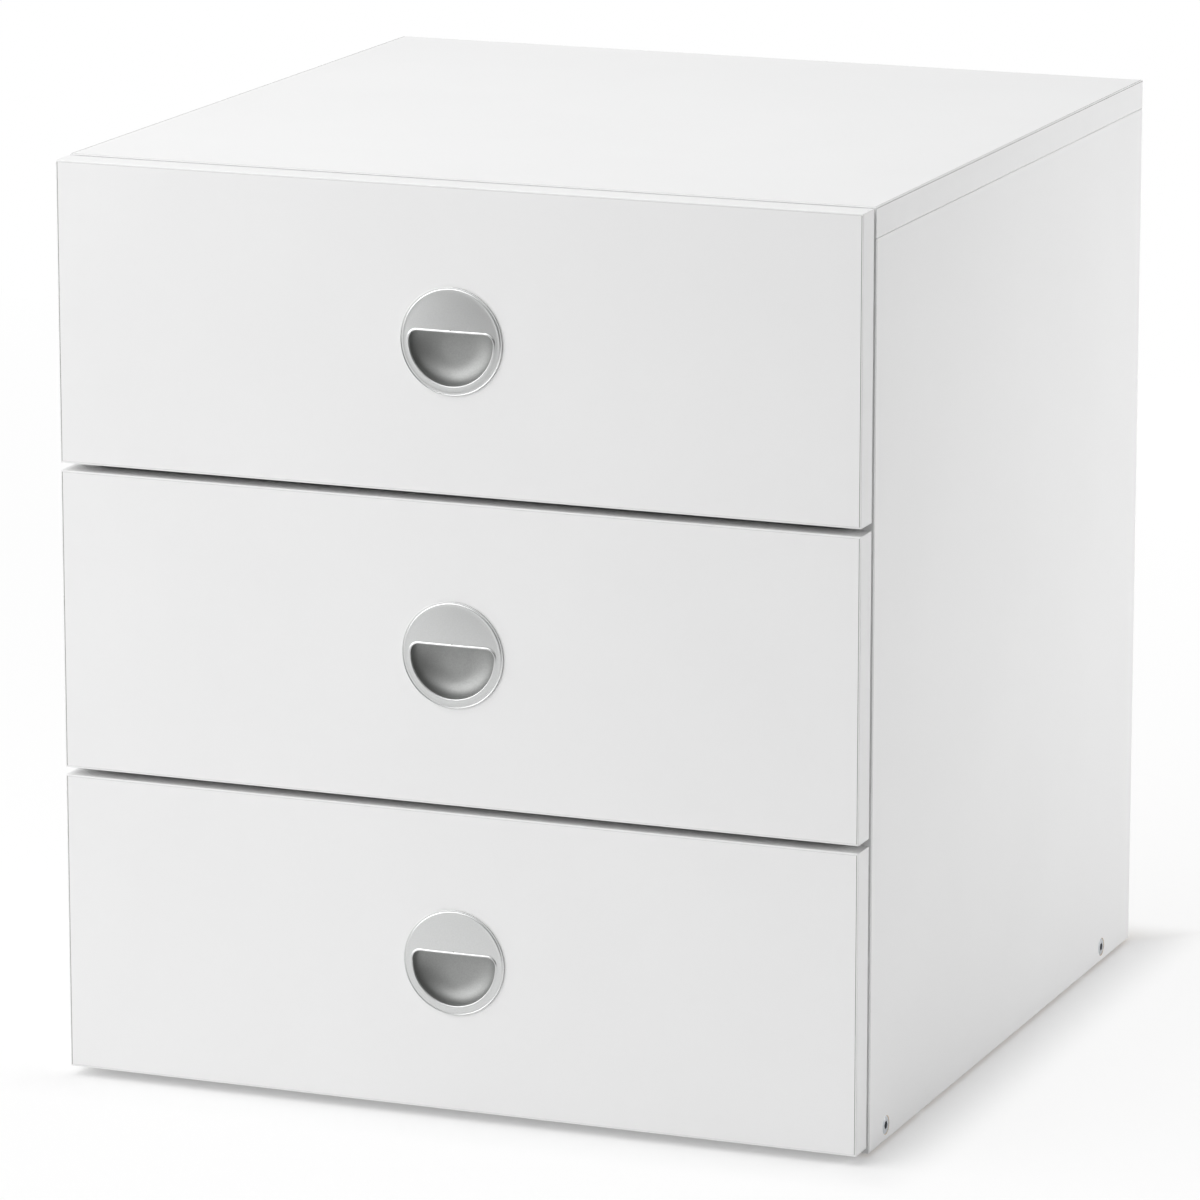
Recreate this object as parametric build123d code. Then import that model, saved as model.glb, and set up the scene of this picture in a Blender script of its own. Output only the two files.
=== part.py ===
from build123d import *
import os

# Storage unit with three drawers, of white-faced board, on roller runners.
# Millimetres. X runs to the right, Y to the back and Z up. The origin lies on the floor,
# under the middle of the whole unit. Drawers are shut.

# Carcass boards
BOARD = 16.0                  # carcass panels and drawer fronts
CARCASS_WIDTH = 450.0
CARCASS_DEPTH = 448.0
CARCASS_HEIGHT = 498.0        # foot of the sides to the top surface
EDGE_ROUND = 0.5              # softened edges of every board
BACK_THICKNESS = 3.0
BACK_INSET = 12.0             # rear edge of the sides to the back panel
BACK_GROOVE_DEPTH = 6.0
GROOVE_PLAY = 0.15            # all round a thin panel in its groove
GLIDE_HEIGHT = 2.0
GLIDE_DIAMETER = 14.0
GLIDE_INSET = 85.0            # front and rear edge of a side to its glides
GLIDE_NAIL_DIAMETER = 2.0
GLIDE_NAIL_LENGTH = 12.0

# Drawer fronts
FRONT_STANDOFF = 2.0          # back of the fronts to the carcass
FRONT_GAP = 4.0               # between neighbouring fronts
TOP_REVEAL = 0.5              # top surface to the uppermost front
BOTTOM_REVEAL = 3.5           # foot of the sides to the lowest front
SIDE_REVEAL = 0.5             # outer face of a side to the end of a front

# Drawer boxes
BOX_BOARD = 12.0
BOX_HEADROOM = 13.0           # top of the uppermost box to the top panel
BOX_BOTTOM_THICKNESS = 3.0
BOX_BOTTOM_RISE = 10.0        # lower edge of a box side to its groove
BOX_GROOVE_DEPTH = 5.0

# Flush pull
PULL_DIAMETER = 57.0
PULL_RIM_HEIGHT = 2.0         # stands proud of the front
PULL_RIM_WIDTH = 1.5
PULL_DISH = 0.6               # top of the rim down to the face inside it
PULL_RIM_ROUND = 0.55
CUP_DIAMETER = 49.5
CUP_DEPTH = 11.0              # behind the front's outer face
CUP_FLOOR = 1.2
RECESS_RADIUS = 23.4
RECESS_TOP = 4.7              # straight upper edge above the pull's centre
RECESS_CORNER = 4.5
RECESS_FLOOR_ROUND = 5.0
BEAD_WIDTH = 1.0              # raised bead around the recess
BEAD_HEIGHT = 0.5
HOOK_HEIGHT = 9.0             # room for the fingertips above the straight edge
HOOK_PLATE = 0.8              # plate left behind the pull's seat there

# Roller runners
RUNNER_SPACE = 12.5           # between a carcass side and a drawer box
SHEET = 1.2
RUNNER_SETBACK = 3.0          # carcass front to the channel
RUNNER_REAR_GAP = 30.0        # channel to the back panel
RUNNER_FLOOR_GAP = 3.0        # bottom panel to the lowest channel
ROLLER_DIAMETER = 18.0
ROLLER_ROUND = 0.8
ROLLER_INSET = 14.0           # end of a channel or rail to its roller's axle
AXLE_DIAMETER = 5.0
AXLE_HEAD_DIAMETER = 8.0
AXLE_HEAD_HEIGHT = 1.0
AXLE_COLLAR_DIAMETER = 9.0
RAIL_COLLAR = 1.0             # between a rail and its roller
AXLE_PLAY = 0.05              # radial, roller on its axle
END_PLAY = 0.15               # along the axle, each side of a roller
RUN_PLAY = 0.3                # roller to the flange it rolls on
FLANGE_PLAY = 0.9             # rail flange to the upper flange of its channel
SLIDE_PLAY = 0.7              # rail web to the edges of its channel
FOOT_RISE = 0.8               # track to the underside of a rail
FOOT_MARGIN = 1.0             # inner face of a box side to the edge of the rail's foot
ENTRY_CUT = 45.0              # upper flange left away at the front, to lift a drawer in
ROLLER_BAY = 28.0             # rail flange left away above the rear roller
DRAWER_TRAVEL = 300.0
STOP_HEIGHT = 2.0
STOP_LENGTH = 3.0
STOP_PLAY = 1.0               # roller to the stop at full travel

# Fasteners
HOLE_PLAY = 0.1               # radial, around every fastener
CONNECTOR_HEAD_DIAMETER = 10.0
CONNECTOR_SHANK_DIAMETER = 6.4
CONNECTOR_LENGTH = 50.0
CONNECTOR_SOCKET = 4.0        # across the flats
CONNECTOR_SOCKET_DEPTH = 3.0
CONNECTOR_FRONT_INSET = 27.0
CONNECTOR_REAR_INSET = 52.0
CAM_DIAMETER = 15.0
CAM_SETBACK = 34.0            # joint face to the middle of a cam lock
CAM_SKIN = 1.1                # cam lock below its bolt
CAM_BOLT_DIAMETER = 5.0
CAM_BOLT_HEAD_DIAMETER = 7.0
CAM_BOLT_HEAD_LENGTH = 4.0
CAM_BOLT_COVER = 5.0          # board left over the end of a cam bolt
CAM_INSET = 60.0              # front and rear edge of a side to its cam locks
BOX_CAM_RISE = 34.0           # lower edge of a box side to its lower cam lock
BOX_CAM_DROP = 24.0           # upper edge of a box side to its upper cam lock
CAM_DRIVE_LENGTH = 8.0        # arms of the cross in a cam lock
CAM_DRIVE_DEPTH = 1.2
SCREW_DRIVE_LENGTH = 4.4      # arms of the cross in a screw head
SCREW_DRIVE_DEPTH = 0.9
DRIVE_WIDTH = 1.2
DOWEL_DIAMETER = 8.0
DOWEL_LENGTH = 30.0
DOWEL_COVER = 6.0             # board left over a dowel in the top panel
DOWEL_INSET = 115.0
BOX_SCREW_HEAD_DIAMETER = 8.0
BOX_SCREW_DIAMETER = 4.0
BOX_SCREW_LENGTH = 38.0
BOX_SCREW_RISE = 30.0
BOX_SCREW_DROP = 26.0
RUNNER_SCREW_HEAD_DIAMETER = 7.0
RUNNER_SCREW_HEAD_HEIGHT = 1.5
RUNNER_SCREW_DIAMETER = 3.5
RUNNER_SCREW_LENGTH = 13.0
RUNNER_SCREW_INSET = 46.0     # ends of a channel or rail to its outer screws
RAIL_SCREW_EDGE = 4.0         # outer face of a box side to the screws in its lower edge
NAIL_DIAMETER = 1.6
NAIL_LENGTH = 22.0
NAIL_HEAD_DIAMETER = 4.0
NAIL_HEAD_HEIGHT = 0.8
NAIL_INSET = 30.0             # inner face of a side to the outermost nail
NAIL_COUNT = 4

SIDES = {"left": -1, "right": 1}
DRAWERS = ("bottom", "middle", "top")

# Planes and distances that follow from the sizes above
DEPTH = PULL_RIM_HEIGHT + BOARD + FRONT_STANDOFF + CARCASS_DEPTH
FRONT_FACE = PULL_RIM_HEIGHT - DEPTH / 2
FRONT_BACK = FRONT_FACE + BOARD
CARCASS_FRONT = FRONT_BACK + FRONT_STANDOFF
CARCASS_BACK = CARCASS_FRONT + CARCASS_DEPTH
BACK_REAR = CARCASS_BACK - BACK_INSET
BACK_FRONT = BACK_REAR - BACK_THICKNESS

FOOT = GLIDE_HEIGHT
CROWN = FOOT + CARCASS_HEIGHT
TOP_UNDERSIDE = CROWN - BOARD
BOTTOM_UPPER = FOOT + BOARD
OUTER = CARCASS_WIDTH / 2
INNER = OUTER - BOARD

FRONT_HALF = OUTER - SIDE_REVEAL
FRONT_HEIGHT = (CARCASS_HEIGHT - TOP_REVEAL - BOTTOM_REVEAL - FRONT_GAP * (len(DRAWERS) - 1)) / len(DRAWERS)
FRONT_PITCH = FRONT_HEIGHT + FRONT_GAP
LOWEST_FRONT = FOOT + BOTTOM_REVEAL

ROLLER_RADIUS = ROLLER_DIAMETER / 2
TRACK_LIFT = BOTTOM_UPPER + RUNNER_FLOOR_GAP + SHEET - LOWEST_FRONT
RAIL_FLANGE_LIFT = ROLLER_DIAMETER + 2 * RUN_PLAY
CHANNEL_ROOM = RAIL_FLANGE_LIFT + SHEET + FLANGE_PLAY
CHANNEL_REACH = RUNNER_SPACE - SHEET - SLIDE_PLAY
CHANNEL_FRONT = CARCASS_FRONT + RUNNER_SETBACK
CHANNEL_BACK = BACK_FRONT - RUNNER_REAR_GAP
FRONT_AXLE = CHANNEL_FRONT + ROLLER_INSET
RAIL_BACK = CHANNEL_BACK - RUNNER_SETBACK
REAR_AXLE = RAIL_BACK - ROLLER_INSET
ROLLER_NEAR = SHEET + RUNNER_SCREW_HEAD_HEIGHT + RUN_PLAY
ROLLER_FAR = RUNNER_SPACE - SHEET - RAIL_COLLAR
ROLLER_WIDTH = ROLLER_FAR - ROLLER_NEAR
HEAD_POCKET = AXLE_HEAD_HEIGHT + 2 * END_PLAY

BOX_LIFT = TRACK_LIFT + FOOT_RISE + SHEET
BOX_HALF = INNER - RUNNER_SPACE
TOP_FRONT_Z = LOWEST_FRONT + FRONT_PITCH * (len(DRAWERS) - 1)
BOX_HEIGHT = TOP_UNDERSIDE - BOX_HEADROOM - TOP_FRONT_Z - BOX_LIFT


def block(x, y, z):
    """Box between the low and high value given for each axis."""
    size = (x[1] - x[0], y[1] - y[0], z[1] - z[0])
    return Pos(x[0], y[0], z[0]) * Box(*size, align=(Align.MIN, Align.MIN, Align.MIN))


def board(x, y, z):
    """Board with softened edges."""
    blank = block(x, y, z)
    return fillet(blank.edges(), EDGE_ROUND)


def inward(side, near, far):
    """X span of a piece that lies so far from the inner face of a carcass side."""
    return sorted((side * (INNER - near), side * (INNER - far)))


def across(side, near, far):
    """X span between two distances from the middle, on one side."""
    return sorted((side * near, side * far))


def turned(outline):
    """Solid turned about Z from a closed outline of (radius, height) points."""
    return revolve(Plane.XZ * make_face(Polyline(*outline, close=True)), Axis.Z)


def rod(diameter, start, end):
    """Round rod on the Z axis between two heights."""
    on_base = (Align.CENTER, Align.CENTER, Align.MIN)
    return Pos(0, 0, start) * Cylinder(diameter / 2, end - start, align=on_base)


def group(pieces):
    """Separate solids that share one node."""
    return Compound([solid for piece in pieces for solid in piece.solids()])


def cross_recess(length, depth):
    """Cutter for a screwdriver's cross, as deep above the Z plane as below it."""
    arm = Box(length, DRIVE_WIDTH, 2 * depth)
    return arm + Rot(0, 0, 90) * arm


def countersunk(head_diameter, diameter, length, play=0.0):
    """Screw with a 90 degree flush head at the origin and its shank along +Z, or its hole."""
    head, shank = head_diameter / 2 + play, diameter / 2 + play
    tip = length + play
    return turned([(0, 0), (head, 0), (shank, head - shank), (shank, tip), (0, tip)])


def pan_head(head_diameter, head_height, diameter, length):
    """Screw whose head stands on the origin plane, with its shank along +Z."""
    head, shank = head_diameter / 2, diameter / 2
    shoulder = head_height / 2
    outline = [(0, -head_height), (head - shoulder, -head_height), (head, -shoulder), (head, 0),
               (shank, 0), (shank, length - shank), (0, length)]
    return turned(outline) - Pos(0, 0, -head_height) * cross_recess(SCREW_DRIVE_LENGTH, SCREW_DRIVE_DEPTH)


def connector_screw():
    """Flush connector screw with a hexagon socket."""
    blank = countersunk(CONNECTOR_HEAD_DIAMETER, CONNECTOR_SHANK_DIAMETER, CONNECTOR_LENGTH)
    socket = extrude(RegularPolygon(CONNECTOR_SOCKET / 2, 6, major_radius=False), CONNECTOR_SOCKET_DEPTH)
    return blank - socket


def connector_hole():
    """Hole for a connector screw."""
    return countersunk(CONNECTOR_HEAD_DIAMETER, CONNECTOR_SHANK_DIAMETER, CONNECTOR_LENGTH, HOLE_PLAY)


def cam_height(thickness):
    """Height of the cam lock that suits a board of some thickness."""
    return thickness / 2 + CAM_BOLT_HEAD_DIAMETER / 2 + HOLE_PLAY + CAM_SKIN


def cam_lock(thickness):
    """Cam lock below the Z plane, with the mouth for its bolt towards +X."""
    height = cam_height(thickness)
    mouth_start = -CAM_BOLT_HEAD_LENGTH / 2 - HOLE_PLAY
    mouth = rod(CAM_BOLT_HEAD_DIAMETER + 2 * HOLE_PLAY, mouth_start, CAM_DIAMETER)
    mouth = Pos(0, 0, -thickness / 2) * Rot(0, 90, 0) * mouth
    return rod(CAM_DIAMETER, -height, 0) - mouth - cross_recess(CAM_DRIVE_LENGTH, CAM_DRIVE_DEPTH)


def cam_pocket(thickness):
    """Cutter for a cam lock and for its bolt's way to the joint face."""
    pocket = rod(CAM_DIAMETER + 2 * HOLE_PLAY, -cam_height(thickness) - HOLE_PLAY, EDGE_ROUND)
    way = Rot(0, 90, 0) * rod(CAM_BOLT_HEAD_DIAMETER + 2 * HOLE_PLAY, 0, CAM_SETBACK + EDGE_ROUND)
    return pocket + Pos(0, 0, -thickness / 2) * way


def cam_bolt(thickness):
    """Cam bolt along +X from the middle of its lock into the board beyond the joint."""
    grip = BOARD - CAM_BOLT_COVER
    head = rod(CAM_BOLT_HEAD_DIAMETER, -CAM_BOLT_HEAD_LENGTH / 2, CAM_BOLT_HEAD_LENGTH / 2)
    shank = rod(CAM_BOLT_DIAMETER, 0, CAM_SETBACK + grip)
    return Pos(0, 0, -thickness / 2) * Rot(0, 90, 0) * (head + shank)


def cam_bolt_hole(thickness):
    """Hole for a cam bolt in the board beyond the joint."""
    depth = BOARD - CAM_BOLT_COVER + HOLE_PLAY
    hole = rod(CAM_BOLT_DIAMETER + 2 * HOLE_PLAY, CAM_SETBACK - EDGE_ROUND, CAM_SETBACK + depth)
    return Pos(0, 0, -thickness / 2) * Rot(0, 90, 0) * hole


def connector_seats(side):
    """Seats of the connector screws on the outer face of a carcass side."""
    height = FOOT + BOARD / 2
    depths = (CARCASS_FRONT + CONNECTOR_FRONT_INSET, CARCASS_BACK - CONNECTOR_REAR_INSET)
    return [Plane(origin=(side * OUTER, y, height), z_dir=(-side, 0, 0)) for y in depths]


def top_cam_seats(side):
    """Seats of the cam locks on the inner face of a carcass side, with X towards the top."""
    height = TOP_UNDERSIDE - CAM_SETBACK
    depths = (CARCASS_FRONT + CAM_INSET, CARCASS_BACK - CAM_INSET)
    return [Plane(origin=(side * INNER, y, height), x_dir=(0, 0, 1), z_dir=(-side, 0, 0)) for y in depths]


def dowel_seats(side):
    """Lower ends of the dowels between a side and the top panel."""
    height = TOP_UNDERSIDE + BOARD - DOWEL_COVER - DOWEL_LENGTH
    depths = (CARCASS_FRONT + DOWEL_INSET, CARCASS_BACK - DOWEL_INSET)
    return [Plane(origin=(side * (INNER + BOARD / 2), y, height)) for y in depths]


def glide_seats(side):
    """Places of the glides on the foot of a carcass side."""
    depths = (CARCASS_FRONT + GLIDE_INSET, CARCASS_BACK - GLIDE_INSET)
    return [Plane(origin=(side * (INNER + BOARD / 2), y, FOOT)) for y in depths]


def nail_seats():
    """Places of the nails on the rear face of the back panel."""
    reach = INNER - NAIL_INSET
    step = 2 * reach / (NAIL_COUNT - 1)
    height = FOOT + BOARD / 2
    return [Plane(origin=(-reach + i * step, BACK_REAR, height), z_dir=(0, -1, 0)) for i in range(NAIL_COUNT)]


def spread(start, end):
    """Three screw places along a runner: near both ends and midway."""
    first, last = start + RUNNER_SCREW_INSET, end - RUNNER_SCREW_INSET
    return first, (first + last) / 2, last


def channel_screw_seats(side, track):
    """Seats of the screws on the web of a channel."""
    x = side * (INNER - SHEET)
    height = track + CHANNEL_ROOM / 2
    return [Plane(origin=(x, y, height), z_dir=(side, 0, 0)) for y in spread(CHANNEL_FRONT, CHANNEL_BACK)]


def rail_screw_seats(side, base):
    """Seats of the screws under the foot of a rail, below a box side that starts at a height."""
    x = side * (BOX_HALF - RAIL_SCREW_EDGE)
    return [Plane(origin=(x, y, base - SHEET)) for y in spread(FRONT_BACK, RAIL_BACK)]


def box_cam_seats(side, base):
    """Seats of the cam locks on the outer face of a box side, with X towards the front."""
    y = FRONT_BACK + CAM_SETBACK
    heights = (base + BOX_CAM_RISE, base + BOX_HEIGHT - BOX_CAM_DROP)
    return [Plane(origin=(side * BOX_HALF, y, z), x_dir=(0, -1, 0), z_dir=(side, 0, 0)) for z in heights]


def box_screw_seats(side, base):
    """Seats of the screws through a box side into the end of the box back."""
    y = RAIL_BACK - BOX_BOARD / 2
    heights = (base + BOX_SCREW_RISE, base + BOX_HEIGHT - BOX_SCREW_DROP)
    return [Plane(origin=(side * BOX_HALF, y, z), z_dir=(-side, 0, 0)) for z in heights]


def track_height(front_z):
    """Height of the rolling face of the channels behind a front."""
    return front_z + TRACK_LIFT


def back_groove():
    """Cutter for the grooves that hold the back panel in the sides and the top."""
    reach = INNER + BACK_GROOVE_DEPTH
    depth = (BACK_FRONT - GROOVE_PLAY, BACK_REAR + GROOVE_PLAY)
    return block((-reach, reach), depth, (0, TOP_UNDERSIDE + BACK_GROOVE_DEPTH))


def dowel_hole():
    """Hole for a dowel, through the joint of a side and the top panel."""
    return rod(DOWEL_DIAMETER + 2 * HOLE_PLAY, -HOLE_PLAY, DOWEL_LENGTH + HOLE_PLAY)


def side_panel(side, tracks):
    """Carcass side with its grooves and every hole that its fittings need."""
    panel = board(across(side, INNER, OUTER), (CARCASS_FRONT, CARCASS_BACK), (FOOT, TOP_UNDERSIDE))
    cuts = [back_groove()]
    cuts += [seat * connector_hole() for seat in connector_seats(side)]
    cuts += [seat * cam_pocket(BOARD) for seat in top_cam_seats(side)]
    cuts += [seat * dowel_hole() for seat in dowel_seats(side)]
    nail_hole = rod(GLIDE_NAIL_DIAMETER + 2 * HOLE_PLAY, 0, GLIDE_NAIL_LENGTH + HOLE_PLAY)
    cuts += [seat * nail_hole for seat in glide_seats(side)]
    screw_hole = rod(RUNNER_SCREW_DIAMETER + 2 * HOLE_PLAY, 0, RUNNER_SCREW_LENGTH + HOLE_PLAY)
    for track in tracks:
        cuts += [seat * screw_hole for seat in channel_screw_seats(side, track)]
    return panel - cuts


def top_panel():
    """Top, which lies on both sides and is held from below."""
    panel = board((-OUTER, OUTER), (CARCASS_FRONT, CARCASS_BACK), (TOP_UNDERSIDE, CROWN))
    cuts = [back_groove()]
    for side in SIDES.values():
        cuts += [seat * cam_bolt_hole(BOARD) for seat in top_cam_seats(side)]
        cuts += [seat * dowel_hole() for seat in dowel_seats(side)]
    return panel - cuts


def bottom_panel():
    """Bottom between the sides, in front of the back panel."""
    panel = board((-INNER, INNER), (CARCASS_FRONT, BACK_FRONT), (FOOT, BOTTOM_UPPER))
    cuts = [seat * connector_hole() for side in SIDES.values() for seat in connector_seats(side)]
    cuts += [seat * nail_hole() for seat in nail_seats()]
    return panel - cuts


def nail_hole():
    """Hole for a back panel nail."""
    return rod(NAIL_DIAMETER + 2 * HOLE_PLAY, 0, NAIL_LENGTH + HOLE_PLAY)


def nail():
    """Flat-headed nail along +Z with its head below the origin plane."""
    return rod(NAIL_HEAD_DIAMETER, -NAIL_HEAD_HEIGHT, 0) + rod(NAIL_DIAMETER, 0, NAIL_LENGTH)


def back_panel():
    """Hardboard back, slid up into the grooves and nailed to the bottom panel."""
    reach = INNER + BACK_GROOVE_DEPTH - GROOVE_PLAY
    top = TOP_UNDERSIDE + BACK_GROOVE_DEPTH - GROOVE_PLAY
    panel = block((-reach, reach), (BACK_FRONT, BACK_REAR), (FOOT, top))
    return panel - [seat * nail_hole() for seat in nail_seats()]


def glide():
    """Floor glide below the origin plane, on its nail."""
    radius = GLIDE_DIAMETER / 2
    pad = turned([(0, -GLIDE_HEIGHT), (radius - GLIDE_HEIGHT / 2, -GLIDE_HEIGHT),
                  (radius, -GLIDE_HEIGHT / 2), (radius, 0), (0, 0)])
    return pad + rod(GLIDE_NAIL_DIAMETER, 0, GLIDE_NAIL_LENGTH)


def roller():
    """Runner roller on the Z axis, with a pocket for the head of its axle at the far end."""
    wheel = rod(ROLLER_DIAMETER, 0, ROLLER_WIDTH)
    rims = wheel.edges().filter_by(GeomType.CIRCLE)
    wheel = fillet(rims, ROLLER_ROUND)
    bore = rod(AXLE_DIAMETER + 2 * AXLE_PLAY, 0, ROLLER_WIDTH)
    pocket = rod(AXLE_HEAD_DIAMETER + 2 * END_PLAY, ROLLER_WIDTH - HEAD_POCKET, ROLLER_WIDTH)
    return wheel - bore - pocket


def axle(collar_start, roller_start):
    """Riveted axle from the back of its sheet, with a collar up to its roller and a flat head."""
    head_start = roller_start + ROLLER_WIDTH - HEAD_POCKET + END_PLAY
    collar = rod(AXLE_COLLAR_DIAMETER, collar_start, roller_start - END_PLAY)
    shank = rod(AXLE_DIAMETER, 0, head_start)
    head = rod(AXLE_HEAD_DIAMETER, head_start, head_start + AXLE_HEAD_HEIGHT)
    return shank + collar + head


def front_axle_seat(side, track):
    """Axle of a channel's roller, from the carcass side inwards."""
    height = track + RUN_PLAY + ROLLER_RADIUS
    return Plane(origin=(side * INNER, FRONT_AXLE, height), z_dir=(-side, 0, 0))


def rear_axle_seat(side, track):
    """Axle of a rail's roller, from the box side outwards."""
    height = track + RUN_PLAY + ROLLER_RADIUS
    return Plane(origin=(side * BOX_HALF, REAR_AXLE, height), z_dir=(side, 0, 0))


def axle_hole():
    """Hole in a runner's sheet that an axle fills."""
    return rod(AXLE_DIAMETER, 0, SHEET)


def runner_channel(side, track):
    """Channel on a carcass side, with its stop, and the axle of its front roller."""
    depth = (CHANNEL_FRONT, CHANNEL_BACK)
    upper = track + CHANNEL_ROOM
    stop_back = REAR_AXLE - DRAWER_TRAVEL - ROLLER_RADIUS - STOP_PLAY
    web = block(inward(side, 0, SHEET), depth, (track - SHEET, upper + SHEET))
    lower_flange = block(inward(side, 0, CHANNEL_REACH), depth, (track - SHEET, track))
    upper_flange = block(inward(side, 0, CHANNEL_REACH), (CHANNEL_FRONT + ENTRY_CUT, CHANNEL_BACK),
                         (upper, upper + SHEET))
    stop = block(inward(side, SHEET, CHANNEL_REACH), (stop_back - STOP_LENGTH, stop_back),
                 (track, track + STOP_HEIGHT))
    channel = web + lower_flange + upper_flange + stop
    seat = front_axle_seat(side, track)
    screw_hole = rod(RUNNER_SCREW_DIAMETER + 2 * HOLE_PLAY, 0, SHEET)
    channel -= [seat * axle_hole()] + [place * screw_hole for place in channel_screw_seats(side, track)]
    return group([channel, seat * axle(SHEET, ROLLER_NEAR)])


def rail(side, track, base):
    """Rail under a box side, with the flange that runs on the front roller and the rear axle."""
    flange_z = track + RAIL_FLANGE_LIFT
    depth = (FRONT_BACK, RAIL_BACK)
    web = block(inward(side, RUNNER_SPACE - SHEET, RUNNER_SPACE), depth, (base - SHEET, flange_z + SHEET))
    foot = block(inward(side, RUNNER_SPACE - SHEET, RUNNER_SPACE + BOX_BOARD - FOOT_MARGIN), depth,
                 (base - SHEET, base))
    flange = block(inward(side, ROLLER_NEAR, RUNNER_SPACE), (FRONT_BACK, RAIL_BACK - ROLLER_BAY),
                   (flange_z, flange_z + SHEET))
    seat = rear_axle_seat(side, track)
    screw_hole = rod(RUNNER_SCREW_DIAMETER + 2 * HOLE_PLAY, 0, SHEET)
    body = web + foot + flange
    body -= [seat * axle_hole()] + [place * screw_hole for place in rail_screw_seats(side, base)]
    return group([body, seat * axle(SHEET, RUNNER_SPACE - ROLLER_FAR)])


def front_rollers(track):
    """Pair of rollers on the axles of two channels."""
    wheel = Pos(0, 0, ROLLER_NEAR) * roller()
    return group([front_axle_seat(side, track) * wheel for side in SIDES.values()])


def rear_rollers(track):
    """Pair of rollers on the axles of two rails."""
    wheel = Pos(0, 0, RUNNER_SPACE - ROLLER_FAR) * roller()
    return group([rear_axle_seat(side, track) * wheel for side in SIDES.values()])


def recess_outline():
    """Half-moon mouth of a pull, with rounded corners at its straight upper edge."""
    lower = Pos(0, RECESS_TOP - RECESS_RADIUS) * Rectangle(2 * RECESS_RADIUS, 2 * RECESS_RADIUS)
    moon = Circle(RECESS_RADIUS) & lower
    return fillet(moon.vertices().sort_by(Axis.Y)[-2:], RECESS_CORNER)


def pull():
    """Flush pull on the Z plane of the front's face: a rimmed disc and a cup for the fingertips."""
    radius = PULL_DIAMETER / 2
    face = PULL_RIM_HEIGHT - PULL_DISH
    rim_inside = radius - PULL_RIM_WIDTH
    disc = turned([(0, 0), (radius, 0), (radius, PULL_RIM_HEIGHT), (rim_inside, PULL_RIM_HEIGHT),
                   (rim_inside - PULL_DISH, face), (0, face)])
    rim = disc.edges().filter_by(GeomType.CIRCLE).group_by(Axis.Z)[-1]
    disc = fillet(rim, PULL_RIM_ROUND)
    mouth = recess_outline()
    bead = extrude(offset(mouth, BEAD_WIDTH), face + BEAD_HEIGHT)
    cup = rod(CUP_DIAMETER, -CUP_DEPTH, 0)
    floor = CUP_DEPTH - CUP_FLOOR
    pocket = extrude(mouth, PULL_RIM_HEIGHT + floor)
    hook_top = RECESS_TOP + HOOK_HEIGHT
    hook_section = Circle(RECESS_RADIUS) & Pos(0, hook_top - RECESS_RADIUS) * Rectangle(
        2 * RECESS_RADIUS, 2 * RECESS_RADIUS)
    pocket = Pos(0, 0, -floor) * (pocket + extrude(hook_section, floor - HOOK_PLATE))
    pocket = fillet(pocket.edges().group_by(Axis.Z)[0], RECESS_FLOOR_ROUND)
    return disc + cup + bead - pocket


def pull_seat(front_z):
    """Middle of a front's outer face, with Z out of the front and Y up."""
    centre = (0, FRONT_FACE, front_z + FRONT_HEIGHT / 2)
    return Plane(origin=centre, x_dir=(1, 0, 0), z_dir=(0, -1, 0))


def box_bottom_cutter(base, play):
    """Block that the bottom of a box fills, or with play the grooves that hold it."""
    reach = BOX_HALF - BOX_BOARD + BOX_GROOVE_DEPTH - GROOVE_PLAY + play
    depth = (FRONT_BACK - BOX_GROOVE_DEPTH + GROOVE_PLAY - play,
             RAIL_BACK - BOX_BOARD + BOX_GROOVE_DEPTH - GROOVE_PLAY + play)
    lower = base + BOX_BOTTOM_RISE
    return block((-reach, reach), depth, (lower - play, lower + BOX_BOTTOM_THICKNESS + play))


def drawer_front(front_z):
    """Front with the bore for its pull, the groove for the box bottom and the cam bolt holes."""
    base = front_z + BOX_LIFT
    blank = board((-FRONT_HALF, FRONT_HALF), (FRONT_FACE, FRONT_BACK), (front_z, front_z + FRONT_HEIGHT))
    bore = rod(CUP_DIAMETER + 2 * HOLE_PLAY, -CUP_DEPTH - HOLE_PLAY, 0)
    cuts = [pull_seat(front_z) * bore, box_bottom_cutter(base, GROOVE_PLAY)]
    for side in SIDES.values():
        cuts += [seat * cam_bolt_hole(BOX_BOARD) for seat in box_cam_seats(side, base)]
    return blank - cuts


def box_side(side, base):
    """Side of a drawer box."""
    width = across(side, BOX_HALF - BOX_BOARD, BOX_HALF)
    blank = board(width, (FRONT_BACK, RAIL_BACK), (base, base + BOX_HEIGHT))
    cuts = [box_bottom_cutter(base, GROOVE_PLAY)]
    cuts += [seat * cam_pocket(BOX_BOARD) for seat in box_cam_seats(side, base)]
    cuts += [seat * box_screw(HOLE_PLAY) for seat in box_screw_seats(side, base)]
    screw_hole = rod(RUNNER_SCREW_DIAMETER + 2 * HOLE_PLAY, 0, RUNNER_SCREW_LENGTH + HOLE_PLAY)
    cuts += [seat * screw_hole for seat in rail_screw_seats(side, base)]
    return blank - cuts


def box_screw(play=0.0):
    """Screw that holds a box back, or its hole."""
    return countersunk(BOX_SCREW_HEAD_DIAMETER, BOX_SCREW_DIAMETER, BOX_SCREW_LENGTH, play)


def box_back(base):
    """Back of a drawer box, between its sides."""
    reach = BOX_HALF - BOX_BOARD
    blank = board((-reach, reach), (RAIL_BACK - BOX_BOARD, RAIL_BACK), (base, base + BOX_HEIGHT))
    cuts = [box_bottom_cutter(base, GROOVE_PLAY)]
    cuts += [seat * box_screw(HOLE_PLAY) for side in SIDES.values() for seat in box_screw_seats(side, base)]
    return blank - cuts


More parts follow.
